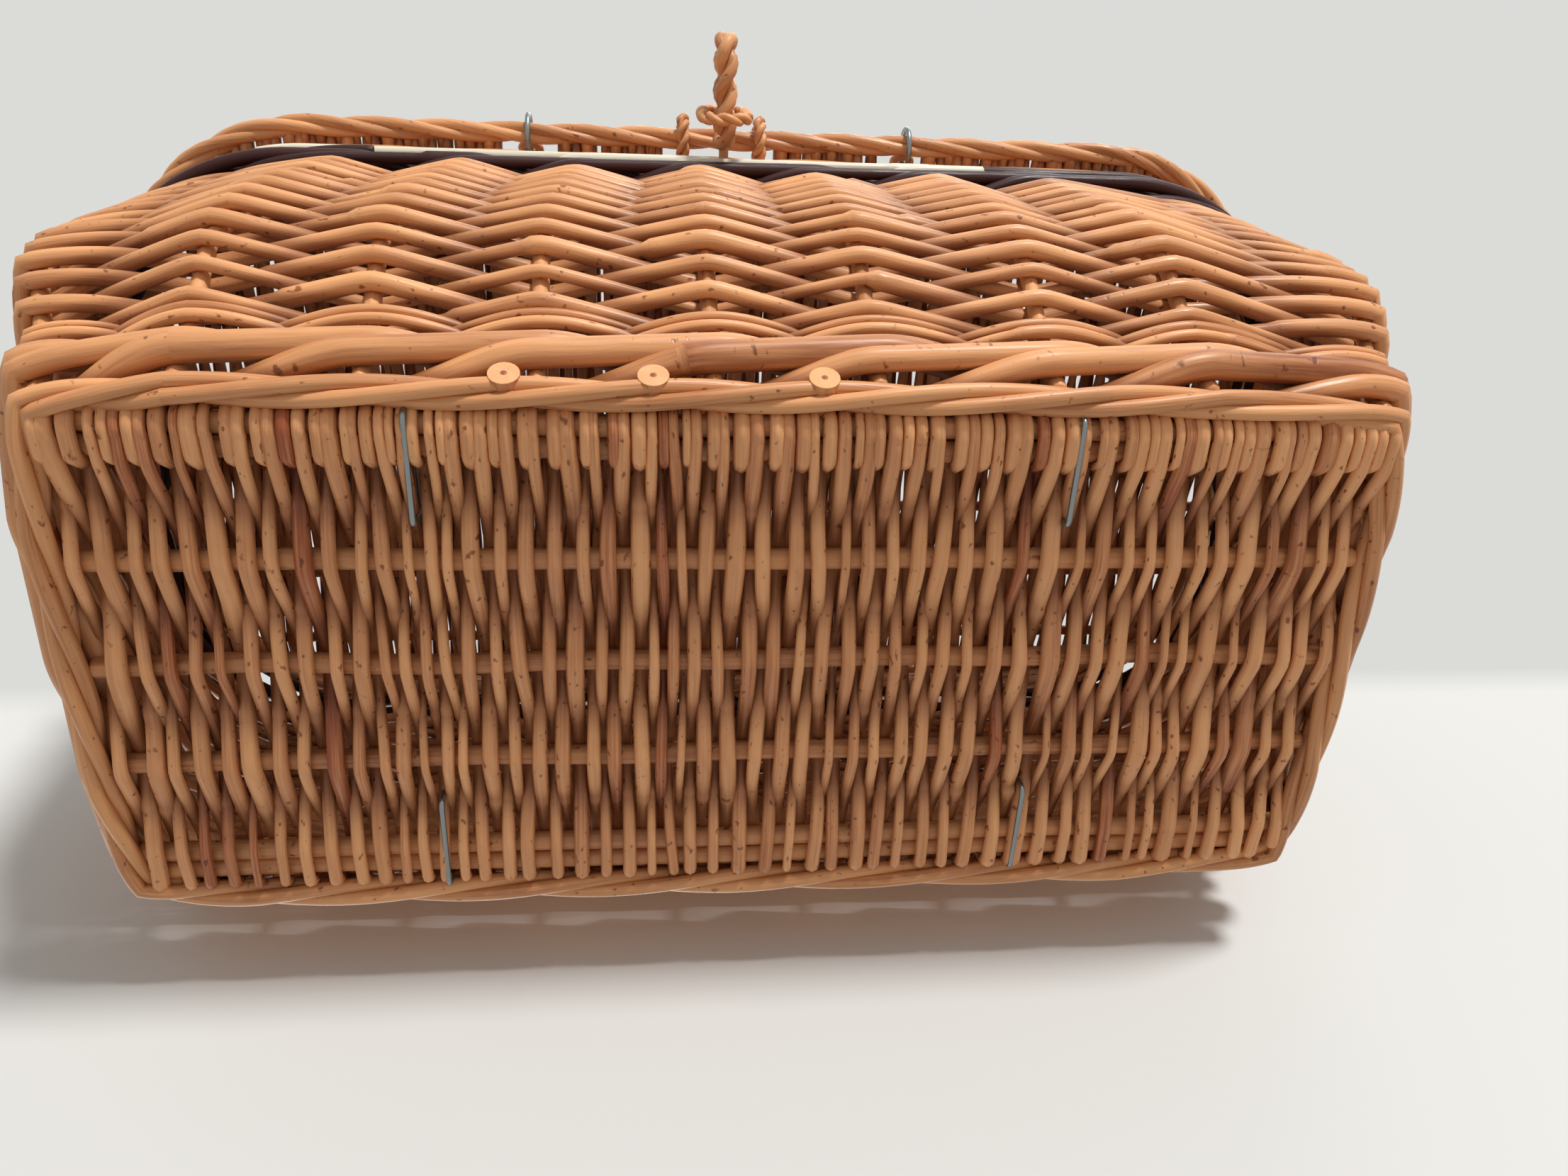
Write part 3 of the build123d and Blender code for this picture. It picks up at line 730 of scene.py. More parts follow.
def zigzag(phase):
    """Swing of a rod, 1 at even and -1 at odd counts: straight between the sticks and rounded at each one.

    With d the distance to the nearest count and k the kink: 1 - (sqrt(d^2 + k^2) - k) / (that at d = 1/2)."""
    nearest = np.round(phase)
    soft = np.sqrt((phase - nearest) ** 2 + ROD_KINK ** 2) - ROD_KINK
    return np.cos(math.pi * nearest) * (1.0 - soft / (math.sqrt(0.25 + ROD_KINK ** 2) - ROD_KINK))


def weave_across(rng, count, extent, rows, phases, heights, width, ends, steps=84):
    """Rods woven from front to back: height = middle + zigzag(phase), swapped for every other rod.

    The extent is half length, half depth and corner radius. The phases count the sticks at the rows' places,
    and the heights are the lowest and the highest that the rods reach."""
    half_x, half_y, radius = extent
    low, high = heights
    middle = (low + high) / 2
    thin, fat = width * ROD_RANGE[0], width * ROD_RANGE[1]
    thick = np.clip(rng.lognormal(math.log(width), ROD_SPREAD, count), thin, fat)
    x = np.cumsum(thick + np.roll(thick, 1))
    margin = thick.mean() * ROD_MARGIN
    x = -(half_x - margin) + (x - x[0]) / (x[-1] - x[0]) * 2 * (half_x - margin)
    front, back = ends(x)
    reach = reach_at(x, half_x, half_y, radius) - width * ROD_ROOM
    front, back = np.maximum(-reach, front), np.minimum(reach, back)
    u = np.linspace(-1, 1, steps)
    u = (1 + END_CROWDING) * u - END_CROWDING * u ** 3
    y = (front + back)[:, None] / 2 + (back - front)[:, None] / 2 * u
    phase = np.interp(y, rows, phases) + (np.arange(count) % 2)[:, None]
    swing = zigzag(phase)
    taper = 1.0 + waves(rng, y, count, size=0.10, length=0.09)
    wide = thick[:, None] * taper
    z = middle + swing * np.where(swing > 0, high - middle - wide, middle - low - wide)
    z = z + np.where(swing > 0, -1, 1) * np.abs(waves(rng, y, count, size=0.0005, length=0.06))
    drift = waves(rng, y, count, size=0.0011, length=0.11)
    bow = -ROD_BOW * (x / half_x)[:, None] ** 3 * (1 - (y / half_y) ** 2)
    centre = np.stack([x[:, None] + drift + bow, y, z], -1)
    out = np.broadcast_to(np.array([1.0, 0.0, 0.0]), centre.shape)
    tint = np.clip(rng.normal(loc=0.5, scale=0.19, size=count), 0.08, 0.95)
    return centre, wide, out, tint


def folded(centre, wide, out, tint, front, heights):
    """Rods that fold round the front edge: half a circle in the Y-Z plane, then back along the other face."""
    low, high = heights
    middle = (low + high) / 2
    first = np.argmax(centre[0, :, 1] > front + FOLD_FROM)
    centre, wide = centre[:, first:], wide[:, first:]
    thin = wide[:, :1] * FOLD_THIN
    bend = (high - low) / 2 - thin
    side = np.sign(centre[:, :1, 2] - middle)
    a = np.linspace(-math.pi / 2, math.pi / 2, 17)
    y = front + thin + bend * (1 - np.cos(a))
    z = middle + side * bend * np.sin(a)
    tail = np.linspace(*FOLD_TAIL, len(FOLD_OPENING))
    tail_y = np.broadcast_to(front + tail, (len(centre), len(tail)))
    tail_z = middle - side * bend * np.array(FOLD_OPENING)
    arc = np.stack([np.concatenate([tail_y, y], 1), np.concatenate([tail_z, z], 1)], -1)
    steps = arc.shape[1]
    x = centre[:, :1, 0] + np.linspace(1.0, 0.0, steps) * side * FOLD_SHIFT
    centre = np.concatenate([np.concatenate([x[..., None], arc], -1), centre], 1)
    wide = np.concatenate([np.broadcast_to(thin, (len(wide), steps)), wide], 1)
    return centre, wide, np.broadcast_to(out[:1, :1], centre.shape), tint


def woven(name, centre, wide, out, tint, heights):
    """Rods woven in a level sheet, with painted shade towards the sheet's middle height."""
    core = centre.copy()
    core[..., 2] = sum(heights) / 2
    facing = np.broadcast_to(np.array([0.0, 0.0, 1.0]), centre.shape)
    depth = (heights[1] - heights[0]) * PAINTED_SHADE_DEPTH
    return rods(name, centre, wide, out, tint, core=(core, facing), depth=depth)


def level_sticks(rng, places, extent, level, radius, spare, middle_y=0.0, wander=0.0):
    """Round sticks along X: y = place + wander, each as long as the rounded rectangle allows there."""
    steps = 60
    half_x, half_y, corner = extent
    share = np.linspace(-1, 1, steps)
    centre = []
    for place in places:
        reach = reach_at(abs(place) + spare, half_y, half_x, corner) - STICK_END
        centre.append(np.stack([share * reach, np.full(steps, place + middle_y), np.full(steps, level)], -1))
    centre = np.array(centre)
    if wander:
        centre[..., 1] += waves(rng, centre[..., 0], len(places), size=wander, length=0.12)
    return centre, np.full(centre.shape[:2], radius)


def ring_rows(rng, rows, per_stake, heights, style, wander):
    """Rods woven round the stakes: offset and rise from style(t, row), and the stakes' line at each point."""
    t = np.arange(COUNT * per_stake) / per_stake
    centre, out, core = [], [], []
    for row in range(rows):
        offset, rise = style(t, row)
        p, n = around(t, heights[row], offset, rise)
        centre.append(p)
        out.append(n)
        core.append(around(t, heights[row], 0.0, rise)[0])
    centre, out, core = np.array(centre), np.array(out), np.array(core)
    turn = 2 * math.pi * t / COUNT
    shift = sum(rng.uniform(-1, 1, (rows, 1)) * np.sin(k * turn + rng.uniform(0, 6.28, (rows, 1)))
                for k in (2, 3, 5, 8)) * wander   # k waves round the basket, each at its own phase
    centre[..., 2] += shift
    return centre, out, core, t


def spliced(rng, rows, t, width, joints, taper=0.28):
    """Radius and tint of rows made of several tapering rods laid end to end."""
    start = rng.uniform(0, COUNT, (rows, 1))
    along = np.mod(t[None] - start, COUNT) / COUNT * joints
    piece = np.minimum(along.astype(int), joints - 1)
    share = along - piece
    tints = np.clip(rng.normal(loc=0.52, scale=0.15, size=(rows, joints)), 0.1, 0.95)
    thick = width * np.clip(rng.normal(loc=1.0, scale=0.10, size=(rows, joints)), 0.78, 1.2)
    pick = np.arange(rows)[:, None]
    wide = thick[pick, piece] * (1 + taper * (0.5 - share))
    return wide, tints[pick, piece]


def strand_style(strands, over, reach, climb):
    """A wale: each rod crosses in front of some stakes and behind one, rising while it is in front.

    Offset = reach * (1 in front, half a cosine down to -1 behind). The rise goes evenly from -0.4 to 0.5
    times the climb in front, and drops back behind."""
    period = over + 1

    def style(t, row):
        u = np.mod(t - 0.5 + row * period / strands, period)
        past = np.abs(np.mod(u - over - 0.5 + period / 2, period) - period / 2)
        behind = np.clip(1.0 - past, 0.0, 1.0)
        rise = np.interp(u, [0, over, over + 0.5, period], [-0.4, 0.5, -0.5, -0.4]) * climb
        return reach * np.cos(math.pi * behind), rise

    return style


class BASKET_OT_base(bpy.types.Operator):
    """Weaves the bottom: long sticks along X and rods across them that fold over the edge sticks"""
    bl_idname = "basket.base"
    bl_label = "Bottom"

    def execute(self, context):
        rng = np.random.default_rng(11)
        s = sizes()
        half_x, half_y = s.mat_length / 2, s.mat_depth / 2
        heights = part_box("base_weave_under")[0][2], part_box("base_weave_inside")[1][2]
        middle = sum(heights) / 2
        inner, outer = BASE_PAIR[0] - BASE_PAIR_ROOM[0], BASE_PAIR[1] + BASE_PAIR_ROOM[1]
        rows = np.array([-half_y, -outer, -inner, -BASE_MIDDLE, 0.0, BASE_MIDDLE, inner, outer, half_y])
        phases = np.array([-0.5, 0, 0, 1, 2, 3, 4, 4, 4.5])

        def ends(x):
            return np.full_like(x, -half_y), np.full_like(x, half_y)

        extent = half_x, half_y, s.mat_corner
        made = weave_across(rng, s.base_rods, extent, rows, phases, heights, s.base_radius, ends)
        centre, wide, out, tint = folded(*made, -half_y, heights)
        mesh = woven("base_weave", centre, wide, out, tint, heights)
        show("base_weave", mesh, pale(), "basket", ["base_weave_under", "base_weave_inside"])
        places = (-BASE_PAIR[1], -BASE_PAIR[0], -BASE_MIDDLE, 0.0, BASE_MIDDLE, BASE_PAIR[0], BASE_PAIR[1])
        centre, wide = level_sticks(rng, places, extent, middle, BASE_STICK_RADIUS, BASE_STICK_SPARE,
                                    wander=0.0006)
        out = np.broadcast_to(np.array([0.0, 0.0, -1.0]), centre.shape)
        mesh = rods("base_stick_rods", centre, wide, out, rng.uniform(0.3, 0.7, len(places)), 10)
        show("base_stick_rods", mesh, tan(), "basket", ["base_sticks"])
        return {"FINISHED"}


class BASKET_OT_foot(bpy.types.Operator):
    """Twists the foot rods round the bottom's edge and adds the cut rod ends"""
    bl_idname = "basket.foot"
    bl_label = "Foot"

    def execute(self, context):
        low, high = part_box("foot_rods")[0][2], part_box("foot_rods")[1][2]
        t = np.arange(COUNT * WALE_STEPS) / WALE_STEPS
        spread, climb = FOOT_TWIST
        centre, out = [], []
        for k in range(FOOT_RODS):
            p = 2 * math.pi * (t / FOOT_TURN + k / FOOT_RODS)
            c, n = around(t, (low + high) / 2, spread * np.cos(p) - FOOT_INSET, climb * np.sin(p))
            centre.append(c)
            out.append(n)
        centre = np.array(centre)
        wide = np.full(centre.shape[:2], FOOT_RADIUS)
        mesh = rods("foot_twist", centre, wide, np.array(out), [0.45, 0.6, 0.35], 10, True)
        show("foot_twist", mesh, tan(), "basket", ["foot_rods"])
        lo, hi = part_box("cut_ends")
        side = np.linspace(-BUTT_LENGTH, 0.0, 8)
        run = np.concatenate([side, BUTT_STEP * np.arange(1, len(BUTT_FACE) + 1)])
        y = lo[1] + BUTT_PLACE[0] - run * math.cos(BUTT_TILT)
        z = (lo[2] + hi[2]) / 2 + BUTT_PLACE[1] - run * math.sin(BUTT_TILT)
        centre = np.stack([np.stack([np.full(len(run), x), y, z], -1) for x in BUTT_X])
        share = np.concatenate([np.ones(len(side)), BUTT_FACE])
        wide = BUTT_RADIUS * np.broadcast_to(share, centre.shape[:2])
        out = np.broadcast_to(np.array([0.0, 0.0, 1.0]), centre.shape)
        shade = np.concatenate([np.full(len(side), 0.4), BUTT_SHADES])
        mesh = rods("cut_rod_ends", centre, wide, out, np.broadcast_to(shade, centre.shape[:2]), 18)
        show("cut_rod_ends", mesh, pale(), "basket", ["cut_ends"])
        return {"FINISHED"}


class BASKET_OT_stakes(bpy.types.Operator):
    """Stands the stakes round the bottom, bent outwards with the wall"""
    bl_idname = "basket.stakes"
    bl_label = "Stakes"

    def execute(self, context):
        rng = np.random.default_rng(13)
        lo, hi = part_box("side_stakes")
        z = np.linspace(lo[2] + STAKE_ENDS[0], hi[2] - STAKE_ENDS[1], 60)
        t = np.arange(COUNT, dtype=float)
        centre, out = [], []
        for height in z:
            p, n = around(t, height, 0.0)
            centre.append(p)
            out.append(n)
        centre, out = np.array(centre).transpose(1, 0, 2), np.array(out).transpose(1, 0, 2)
        wide = np.full(centre.shape[:2], sizes().stake_radius)
        mesh = rods("wall_stakes", centre, wide, out, rng.uniform(0.3, 0.8, COUNT), 8)
        show("wall_stakes", mesh, tan(), "basket", ["side_stakes"])
        return {"FINISHED"}


class BASKET_OT_walls(bpy.types.Operator):
    """Weaves the wall: each row passes in front of one stake and behind the next"""
    bl_idname = "basket.walls"
    bl_label = "Walls"

    def execute(self, context):
        rng = np.random.default_rng(14)
        rows, width = sizes().wall_rows, sizes().rod_radius
        lo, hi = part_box("wall_weave_outside")
        share = (np.arange(rows) + 0.5) / rows
        heights = lo[2] + (hi[2] - lo[2]) * ((1 + ROW_CROWDING) * share - ROW_CROWDING * share ** 2)
        reach = sizes().stake_radius + width * ROW_TOUCH

        def style(t, row):
            return reach * zigzag(t + row), 0.0

        centre, out, core, t = ring_rows(rng, rows, 18, heights, style, wander=0.0005)
        wide, tint = spliced(rng, rows, t, width, joints=4)
        wide = wide * (1 + ROW_THINNING * (0.5 - share[:, None]))
        # core and reach place the painted shade: rods darken where they pass through the stakes' line between
        # the stakes
        mesh = rods("wall_weave", centre, wide, out, tint, 8, True, (core, out), reach)
        show("wall_weave", mesh, tan(), "basket", ["wall_weave_outside", "wall_weave_inside"])
        return {"FINISHED"}


class BASKET_OT_wales(bpy.types.Operator):
    """Winds the thick first rounds, the thin pair above them, and the brown and white rounds at the rim"""
    bl_idname = "basket.wales"
    bl_label = "Wales"

    def execute(self, context):
        rng = np.random.default_rng(15)

        def wale(name, nodes, level, strands, over, reach, climb, width, material, span=None):
            style = strand_style(strands, over, reach, climb)
            heights = [level] * strands
            centre, out, core, t = ring_rows(rng, strands, WALE_STEPS, heights, style, wander=0.0001)
            wide, tint = spliced(rng, strands, t, width, joints=3, taper=0.16)
            if span:
                first, last = int(span[0] * WALE_STEPS), int(span[1] * WALE_STEPS)
                pick = np.mod(np.arange(first, last), centre.shape[1])
                centre, out, core, wide, tint = (a[:, pick] for a in (centre, out, core, wide, tint))
            # core and reach place the painted shade: strands darken where they pass through the stakes' line
            mesh = rods(name, centre, wide, out, tint, 10, not span, (core, out), reach)
            show(name, mesh, material, "basket", nodes)

        wale("upsett_wale", ["upsett_rods", "upsett_rod_inside"], level=0.0176, strands=3, over=2,
             reach=0.0060, climb=0.0100, width=0.0043, material=tan())
        wale("binding_pair", ["binding_rods", "binding_rods_inside"], level=0.0318, strands=2, over=1,
             reach=0.0046, climb=0.0030, width=0.0019, material=tan())
        wale("binding_pair_above", None, level=0.0352, strands=2, over=1,
             reach=0.0046, climb=0.0026, width=0.0015, material=tan())
        wale("brown_wale", ["dark_rods", "dark_rods_inside"], level=0.1510, strands=3, over=2,
             reach=0.0050, climb=0.0070, width=0.0025, material=brown())
        wale("white_wale", ["white_rod", "white_rod_inside"], level=0.1600, strands=3, over=2,
             reach=0.0056, climb=0.0038, width=0.0021, material=white(), span=WHITE_SPAN)
        rest = (WHITE_SPAN[1] - 0.6, WHITE_SPAN[0] + COUNT + 0.6)
        wale("brown_rim", None, level=0.1600, strands=3, over=2,
             reach=0.0056, climb=0.0038, width=0.0020, material=brown(), span=rest)
        return {"FINISHED"}


class BASKET_OT_border(bpy.types.Operator):
    """Lays the rod border: four rods wound in long arcs along the rim"""
    bl_idname = "basket.border"
    bl_label = "Border"

    def execute(self, context):
        low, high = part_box("border_outside")[0][2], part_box("border_top")[1][2]
        spread, climb = BORDER_TWIST
        t = np.arange(COUNT * WALE_STEPS) / WALE_STEPS
        line, out = around(t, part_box("border_outside")[1][2] - climb, 0.0, 0.0)
        p = 2 * math.pi * (t / BORDER_TURN + np.arange(BORDER_RODS)[:, None] / BORDER_RODS)
        centre = line + out * (spread * np.cos(p))[..., None]
        centre[..., 2] = (low + high) / 2 + climb * np.sin(p)
        wide = np.full(centre.shape[:2], BORDER_RADIUS)
        out = np.broadcast_to(out, centre.shape)
        mesh = rods("border_rods", centre, wide, out, [0.5, 0.7, 0.35, 0.6], 9, True)
        nodes = ["border_outside", "border_inside", "border_top"]
        show("border_rods", mesh, tan(), "basket", nodes)
        return {"FINISHED"}


class BASKET_OT_fittings(bpy.types.Operator):
    """Adds the wire ties, the hinge loops, and the staple with the ring round its neck"""
    bl_idname = "basket.fittings"
    bl_label = "Ties, hinges and staple"

    def execute(self, context):
        rng = np.random.default_rng(16)
        lo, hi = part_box("base_ties")
        low, high = lo[2] + TIE_RADIUS, hi[2] - TIE_RADIUS
        meshes = []
        for side in (-1, 1):
            near, far = side * (hi[1] - TIE_RADIUS), side * (hi[1] - TIE_REACH)
            for x in (-TIE_X, TIE_X):
                corners = [(x, near, low), (x, near, high), (x, far, high), (x, far, low)]
                path = path_round(corners, [TIE_BEND] * 4, True)[None]
                out = np.broadcast_to(np.array([1.0, 0.0, 0.0]), path.shape)
                meshes.append(rods("tie", path, np.full(path.shape[:2], TIE_RADIUS), out, [0.5], 8, True))
        show("wire_ties", joined("wire_ties", meshes), steel(), "basket", ["base_ties"])
        for name, x in (("hinge_left", -HINGE_X), ("hinge_right", HINGE_X)):
            lo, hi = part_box(name)
            near, far = lo[1] + HINGE_WIRE, hi[1] - HINGE_WIRE
            low, high = lo[2] + HINGE_WIRE, hi[2] - HINGE_WIRE
            corners = [(x, near, low), (x, far, low), (x, far, high), (x, near, high)]
            path = path_round(corners, [HINGE_BEND] * 4, True)
            mesh = rope_mesh(name + "_loop", path, (1, 0, 0), rng=rng, closed=True, **HINGE_ROPE)
            show(name + "_loop", mesh, tan(), "basket", [name])
        lo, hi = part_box("staple")
        z = (lo[2] + hi[2]) / 2
        top, foot = lo[1] + STAPLE_ROPE / 2, lo[1] + STAPLE_LENGTH - STAPLE_ROPE / 2
        half = (hi[2] - lo[2]) / 2 - STAPLE_ROPE / 2
        corners = [(0, foot, z - half), (0, top, z - half), (0, top, z + half), (0, foot, z + half)]
        path = path_round(corners, [half * NEARLY_ROUND] * 4, True)
        meshes = [rope_mesh("staple", path, (1, 0, 0), rng=rng, closed=True, **STAPLE_STRANDS)]
        y = np.linspace(foot + STUB_ENDS[0], hi[1] - STUB_ENDS[1], 12)
        stub = np.stack([np.zeros_like(y), y, np.full_like(y, z)], -1)[None]
        out = np.broadcast_to(np.array([0.0, 0.0, 1.0]), stub.shape)
        meshes.append(rods("stub", stub, np.full(stub.shape[:2], STUB_RADIUS), out, [0.5], 10))
        show("staple_loop", joined("staple_loop", meshes), tan(), "basket", ["staple"])
        lo, hi = np.array(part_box("staple_ring"))
        _, y, z = (lo + hi) / 2
        wide, _, tall = (hi - lo) / 2 - NECK_HALF
        corners = [(-wide, y, z - tall), (wide, y, z - tall), (wide, y, z + tall), (-wide, y, z + tall)]
        path = path_round(corners, [wide * NEARLY_ROUND] * 4, True)
        mesh = rope_mesh("neck_ring", path, (0, 1, 0), rng=rng, closed=True, **NECK_ROPE)
        show("neck_ring", mesh, tan(), "basket", ["staple_ring"])
        return {"FINISHED"}


def lid_plan(inset):
    """Half length, half depth, corner radius of the lid's outline and its middle's place along Y."""
    lo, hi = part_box("lid_edge")
    half_x, half_y = ((hi[k] - lo[k]) / 2 - EDGE_RADIUS - inset for k in (0, 1))
    border = (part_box("border_outside")[0][2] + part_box("border_outside")[1][2]) / 2
    return half_x, half_y, plan(border)[2] - inset, (lo[1] + hi[1]) / 2


def lid_front():
    """Place along Y and height of the middle of the lid's front edge rod."""
    lo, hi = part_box("lid_edge")
    return lo[1] + EDGE_RADIUS, (lo[2] + hi[2]) / 2


class BASKET_OT_lid(bpy.types.Operator):
    """Weaves the lid across its sticks, with gaps for the hinge loops, the rings and the hasp"""
    bl_idname = "basket.lid"
    bl_label = "Lid"

    def execute(self, context):
        rng = np.random.default_rng(17)
        half_x, half_y, radius, middle_y = lid_plan(LID_INSET)
        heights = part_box("lid_weave_under")[0][2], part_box("lid_weave_top")[1][2]
        outer = half_y - (HASP_NOTCH + LID_STICK_RADIUS - EDGE_RADIUS)
        sticks = np.linspace(-outer, outer, LID_STICKS)
        rows = np.concatenate([[-half_y], sticks, [half_y]])
        phases = np.concatenate([[-LID_ENDS], np.arange(LID_STICKS), [LID_STICKS - 1 + LID_ENDS]])

        def ends(x):
            edge_y = half_y + LID_INSET
            near_hasp = np.abs(x) < HASP_EYE / 2 + HASP_ROPE + HASP_SIDE
            front = np.where(near_hasp, -edge_y + HASP_NOTCH + NOTCH_SPARE, -1.0)
            near_ring = np.abs(np.abs(x) - RING_X) < RING_HALF + NOTCH_SIDE
            front = np.where(near_ring, -edge_y + HANDLE_NOTCH + NOTCH_SPARE, front)
            near_hinge = np.abs(np.abs(x) - HINGE_X) < HINGE_HALF + NOTCH_SIDE
            return front, np.where(near_hinge, edge_y - HINGE_NOTCH, 1.0)

        wider = half_x + LID_BITE, half_y + LID_BITE, radius + LID_BITE
        made = weave_across(rng, sizes().lid_rods, wider, rows, phases, heights, LID_ROD, ends, steps=80)
        centre, wide, out, tint = made
        centre[..., 0] -= (centre[..., 0] - centre[:, :1, 0]) * LID_STRAIGHTEN
        centre[..., 1] += middle_y
        mesh = woven("lid_weave", centre, wide, out, tint, heights)
        show("lid_weave", mesh, tan(), "lid", ["lid_weave_under", "lid_weave_top"])
        inside = half_x, half_y, radius
        centre, wide = level_sticks(rng, sticks, inside, sum(heights) / 2, LID_STICK_RADIUS, LID_STICK_SPARE,
                                    middle_y)
        out = np.broadcast_to(np.array([0.0, 0.0, 1.0]), centre.shape)
        mesh = rods("lid_stick_rods", centre, wide, out, rng.uniform(0.3, 0.7, LID_STICKS), 10)
        show("lid_stick_rods", mesh, tan(), "lid", ["lid_sticks"])
        half_x, half_y, radius, middle_y = lid_plan(0.0)
        marks = stretches(half_x, half_y, radius)
        steps = 900
        run = np.linspace(0, marks[-1], steps, endpoint=False)
        point, normal = outline(np.interp(run, marks, np.arange(9)), half_x, half_y, radius, middle_y)
        path = np.concatenate([point, np.full((steps, 1), lid_front()[1])], -1)
        side = np.concatenate([normal, np.zeros((steps, 1))], -1)
        mesh = rope_mesh("lid_border", path, side, rng=rng, closed=True, sides=9, **LID_ROPE)
        show("lid_border", mesh, tan(), "lid", ["lid_edge"])
        return {"FINISHED"}


class BASKET_OT_hasp(bpy.types.Operator):
    """Twists the hasp: a long open loop on two eyes round the lid's front rod"""
    bl_idname = "basket.hasp"
    bl_label = "Hasp"

    def execute(self, context):
        rng = np.random.default_rng(18)
        side, root = HASP_EYE / 2 + HASP_ROPE / 2, EDGE_RADIUS + EYE_GAP + HASP_ROPE / 2
        cos, sin = math.cos(HASP_TURN), math.sin(HASP_TURN)
        turn = np.array([[1, 0, 0], [0, cos, -sin], [0, sin, cos]])
        place = np.array([0, *lid_front()])
        corners = [(-side, root, 0), (-side, HASP_REACH, 0), (side, HASP_REACH, 0), (side, root, 0)]
        path = path_round(corners, [side * 0.99] * 2, False) @ turn.T + place
        meshes = [rope_mesh("hasp", path, turn @ (0, 0, 1), rng=rng, closed=False, **HASP_STRANDS)]
        a = np.linspace(0, 2 * math.pi, 60, endpoint=False)
        for x in (-side, side):
            eye = np.stack([np.full(60, x), root * np.cos(a), root * np.sin(a)], -1) @ turn.T + place
            meshes.append(rope_mesh("eye", eye, (1, 0, 0), rng=rng, closed=True, **EYE_STRANDS))
        show("hasp_loop", joined("hasp_loop", meshes), tan(), "hasp", ["hasp"])
        return {"FINISHED"}


class BASKET_OT_handle(bpy.types.Operator):
    """Twists the carrying handle, with an eye at each end and the steel rings it hangs in"""
    bl_idname = "basket.handle"
    bl_label = "Handle"

    def execute(self, context):
        rng = np.random.default_rng(19)
        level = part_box("handle")[1][2] - HANDLE_HALF
        far = lid_front()[0] + HANDLE_REACH
        lo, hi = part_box("ring_left")
        ring = np.array([0, (lo[1] + hi[1]) / 2, (lo[2] + hi[2]) / 2])
        slope = np.array([0, math.sqrt(0.5), math.sqrt(0.5)])
        eye = ring + RING_RADIUS * slope
        start = eye + HANDLE_EYE_OUT * slope
        bend = start + slope * (level - start[2]) / slope[2]
        corners = [start, bend, (0, far, level), (0, far, level), bend, start]
        corners = [np.array(c, float) + (x, 0, 0) for c, x in zip(corners, [-RING_X] * 3 + [RING_X] * 3)]
        path = path_round(corners, HANDLE_BENDS, False)
        meshes = [rope_mesh("handle", path, (0, 0, 1), rng=rng, closed=False, sides=9, **HANDLE_ROPE)]
        for x in (-RING_X, RING_X):
            meshes.append(torus_mesh("eye", eye + (x, 0, 0), np.cross((1, 0, 0), slope), *HANDLE_EYE))
        show("handle_rope", joined("handle_rope", meshes), tan(), "handle", ["handle"])
        for name, x in (("ring_left", -RING_X), ("ring_right", RING_X)):
            mesh = torus_mesh(name + "_wire", ring + (x, 0, 0), (1, 0, 0), RING_RADIUS, RING_WIRE)
            show(name + "_wire", mesh, steel(), "handle", [name])
        return {"FINISHED"}


def facing_matrix(x, y, z, place):
    """The matrix that puts an object's axes along x, y and z at a place."""
    return Matrix(np.vstack([np.column_stack([x, y, z, place]), [0, 0, 0, 1]]))


def blended(tree, share, first, second, end):
    """Ends a node tree in two shaders, mixed by a share from 0 for the first to 1 for the second."""
    mix = tree.nodes.new("ShaderNodeMixShader")
    tree.links.new(share, mix.inputs[0])
    tree.links.new(first.outputs[0], mix.inputs[1])
    tree.links.new(second.outputs[0], mix.inputs[2])
    tree.links.new(mix.outputs[0], tree.nodes[end].inputs["Surface"])


def floor_material():
    """Pale matt floor that only the camera sees, only from its front, and that fades out above FLOOR_FADE."""
    material = bpy.data.materials.new("pale_floor")
    material.use_nodes = True
    tree = material.node_tree
    new, link = tree.nodes.new, tree.links.new
    shader = tree.nodes["Principled BSDF"]
    shader.inputs["Base Color"].default_value = FLOOR_COLOUR
    shader.inputs["Roughness"].default_value = 0.9
    height = new("ShaderNodeSeparateXYZ")
    link(new("ShaderNodeTexCoord").outputs["Object"], height.inputs[0])
    fade = ranged(tree, height.outputs["Z"], *FLOOR_FADE)
    gone = worked(tree, "MAXIMUM", fade, new("ShaderNodeNewGeometry").outputs["Backfacing"])
    hidden = worked(tree, "SUBTRACT", 1.0, new("ShaderNodeLightPath").outputs["Is Camera Ray"])
    share = worked(tree, "MAXIMUM", hidden, gone)
    blended(tree, share, shader, new("ShaderNodeBsdfTransparent"), "Material Output")
    return material


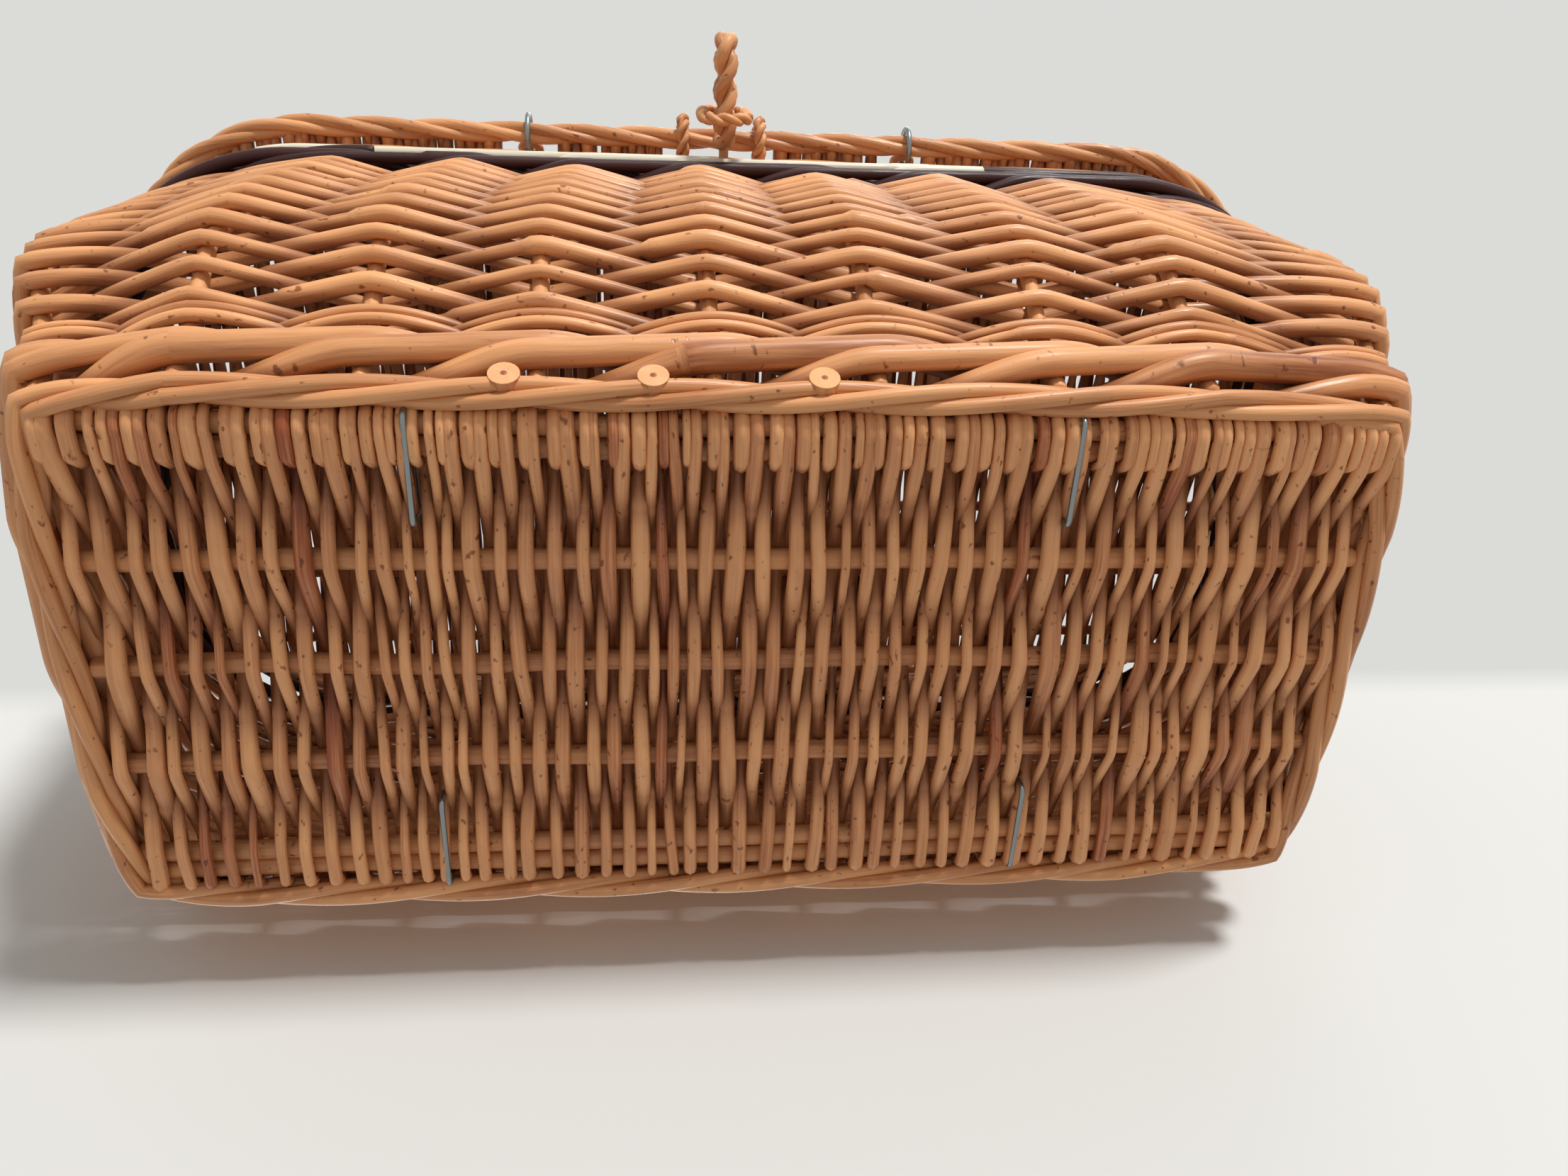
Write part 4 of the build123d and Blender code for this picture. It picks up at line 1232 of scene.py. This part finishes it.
class BASKET_OT_stage(bpy.types.Operator):
    """Sets the floor behind the lying basket, the lamps and the camera"""
    bl_idname = "basket.stage"
    bl_label = "Stage"

    def execute(self, context):
        scene = context.scene
        scene.view_settings.view_transform = "Standard"
        foot = np.array(FLOOR_FOOT)
        along = unit(np.array(FLOOR_RIM) - foot) * FLOOR_HALF
        across = np.array([FLOOR_HALF, 0.0, 0.0])
        corners = [foot + along * a + across * b for a, b in ((-1, -1), (1, -1), (1, 1), (-1, 1))]
        mesh = bpy.data.meshes.new("floor")
        mesh.from_pydata([tuple(c) for c in corners], [], [(0, 1, 2, 3)])
        mesh.materials.append(floor_material())
        if mesh.polygons[0].normal.y > 0:
            mesh.flip_normals()
        floor = bpy.data.objects.new("floor", mesh)
        scene.collection.objects.link(floor)

        world = bpy.data.worlds.new("plain")
        scene.world = world
        world.use_nodes = True
        tree = world.node_tree
        light, shown = tree.nodes["Background"], tree.nodes.new("ShaderNodeBackground")
        light.inputs["Color"].default_value = SKY
        light.inputs["Strength"].default_value = SKY_STRENGTH
        shown.inputs["Color"].default_value = BACKDROP
        rays = tree.nodes.new("ShaderNodeLightPath")
        share = worked(tree, "MAXIMUM", rays.outputs["Is Camera Ray"], rays.outputs["Is Glossy Ray"])
        blended(tree, share, light, shown, "World Output")

        right, down, ahead = (np.array(v) for v in (CAMERA_RIGHT, CAMERA_DOWN, CAMERA_AHEAD))
        up, toward = -down, -ahead
        key_way = KEY_WAY[1] * up + KEY_WAY[0] * right + KEY_WAY[2] * toward
        lamps = ("key", key_way, *KEY), ("top", TOP_WAY, *TOP), ("back", BACK_WAY, *BACK)
        for name, way, strength, width in lamps:
            lamp = bpy.data.lights.new(name, "SUN")
            lamp.energy = strength
            lamp.angle = math.radians(width)
            z = unit(np.array(way))
            x = unit(np.cross((0.3, 1.0, 0.2), z))
            obj = bpy.data.objects.new(name, lamp)
            scene.collection.objects.link(obj)
            obj.matrix_world = facing_matrix(x, np.cross(z, x), z, (0, 0, 0))
        lens = bpy.data.cameras.new("photo_view")
        lens.lens = LENS
        lens.sensor_width = SENSOR
        lens.clip_start = 0.01
        camera = bpy.data.objects.new("photo_view", lens)
        scene.collection.objects.link(camera)
        camera.matrix_world = facing_matrix(right, up, toward, CAMERA_PLACE)
        scene.camera = camera
        return {"FINISHED"}


PIECES = (BASKET_OT_base, BASKET_OT_foot, BASKET_OT_stakes, BASKET_OT_walls, BASKET_OT_wales,
          BASKET_OT_border, BASKET_OT_fittings, BASKET_OT_lid, BASKET_OT_hasp, BASKET_OT_handle,
          BASKET_OT_stage)


class BASKET_PT_panel(bpy.types.Panel):
    """Lists the basket's pieces and sizes"""
    bl_idname = "BASKET_PT_panel"
    bl_label = "Basket"
    bl_space_type = "VIEW_3D"
    bl_region_type = "UI"
    bl_category = "Basket"

    def draw(self, context):
        for group in (context.scene.basket_sizes, context.scene.basket_colours):
            for name in group.bl_rna.properties.keys():
                if name not in ("rna_type", "name"):
                    self.layout.prop(group, name)
        for piece in PIECES:
            self.layout.operator(piece.bl_idname)


CLASSES = (BasketSizes, BasketColours) + PIECES + (BASKET_PT_panel,)


def register():
    """Makes the sidebar's sizes, pieces and colours known."""
    for cls in CLASSES:
        bpy.utils.register_class(cls)
    bpy.types.Scene.basket_sizes = PointerProperty(type=BasketSizes)
    bpy.types.Scene.basket_colours = PointerProperty(type=BasketColours)


def unregister():
    """Takes them back in the opposite order."""
    del bpy.types.Scene.basket_colours
    del bpy.types.Scene.basket_sizes
    for cls in reversed(CLASSES):
        bpy.utils.unregister_class(cls)


def main():
    """Makes every piece and the stage."""
    register()
    bpy.ops.basket.base()
    bpy.ops.basket.foot()
    bpy.ops.basket.stakes()
    bpy.ops.basket.walls()
    bpy.ops.basket.wales()
    bpy.ops.basket.border()
    bpy.ops.basket.fittings()
    bpy.ops.basket.lid()
    bpy.ops.basket.hasp()
    bpy.ops.basket.handle()
    bpy.ops.basket.stage()


if __name__ == "__main__":
    main()
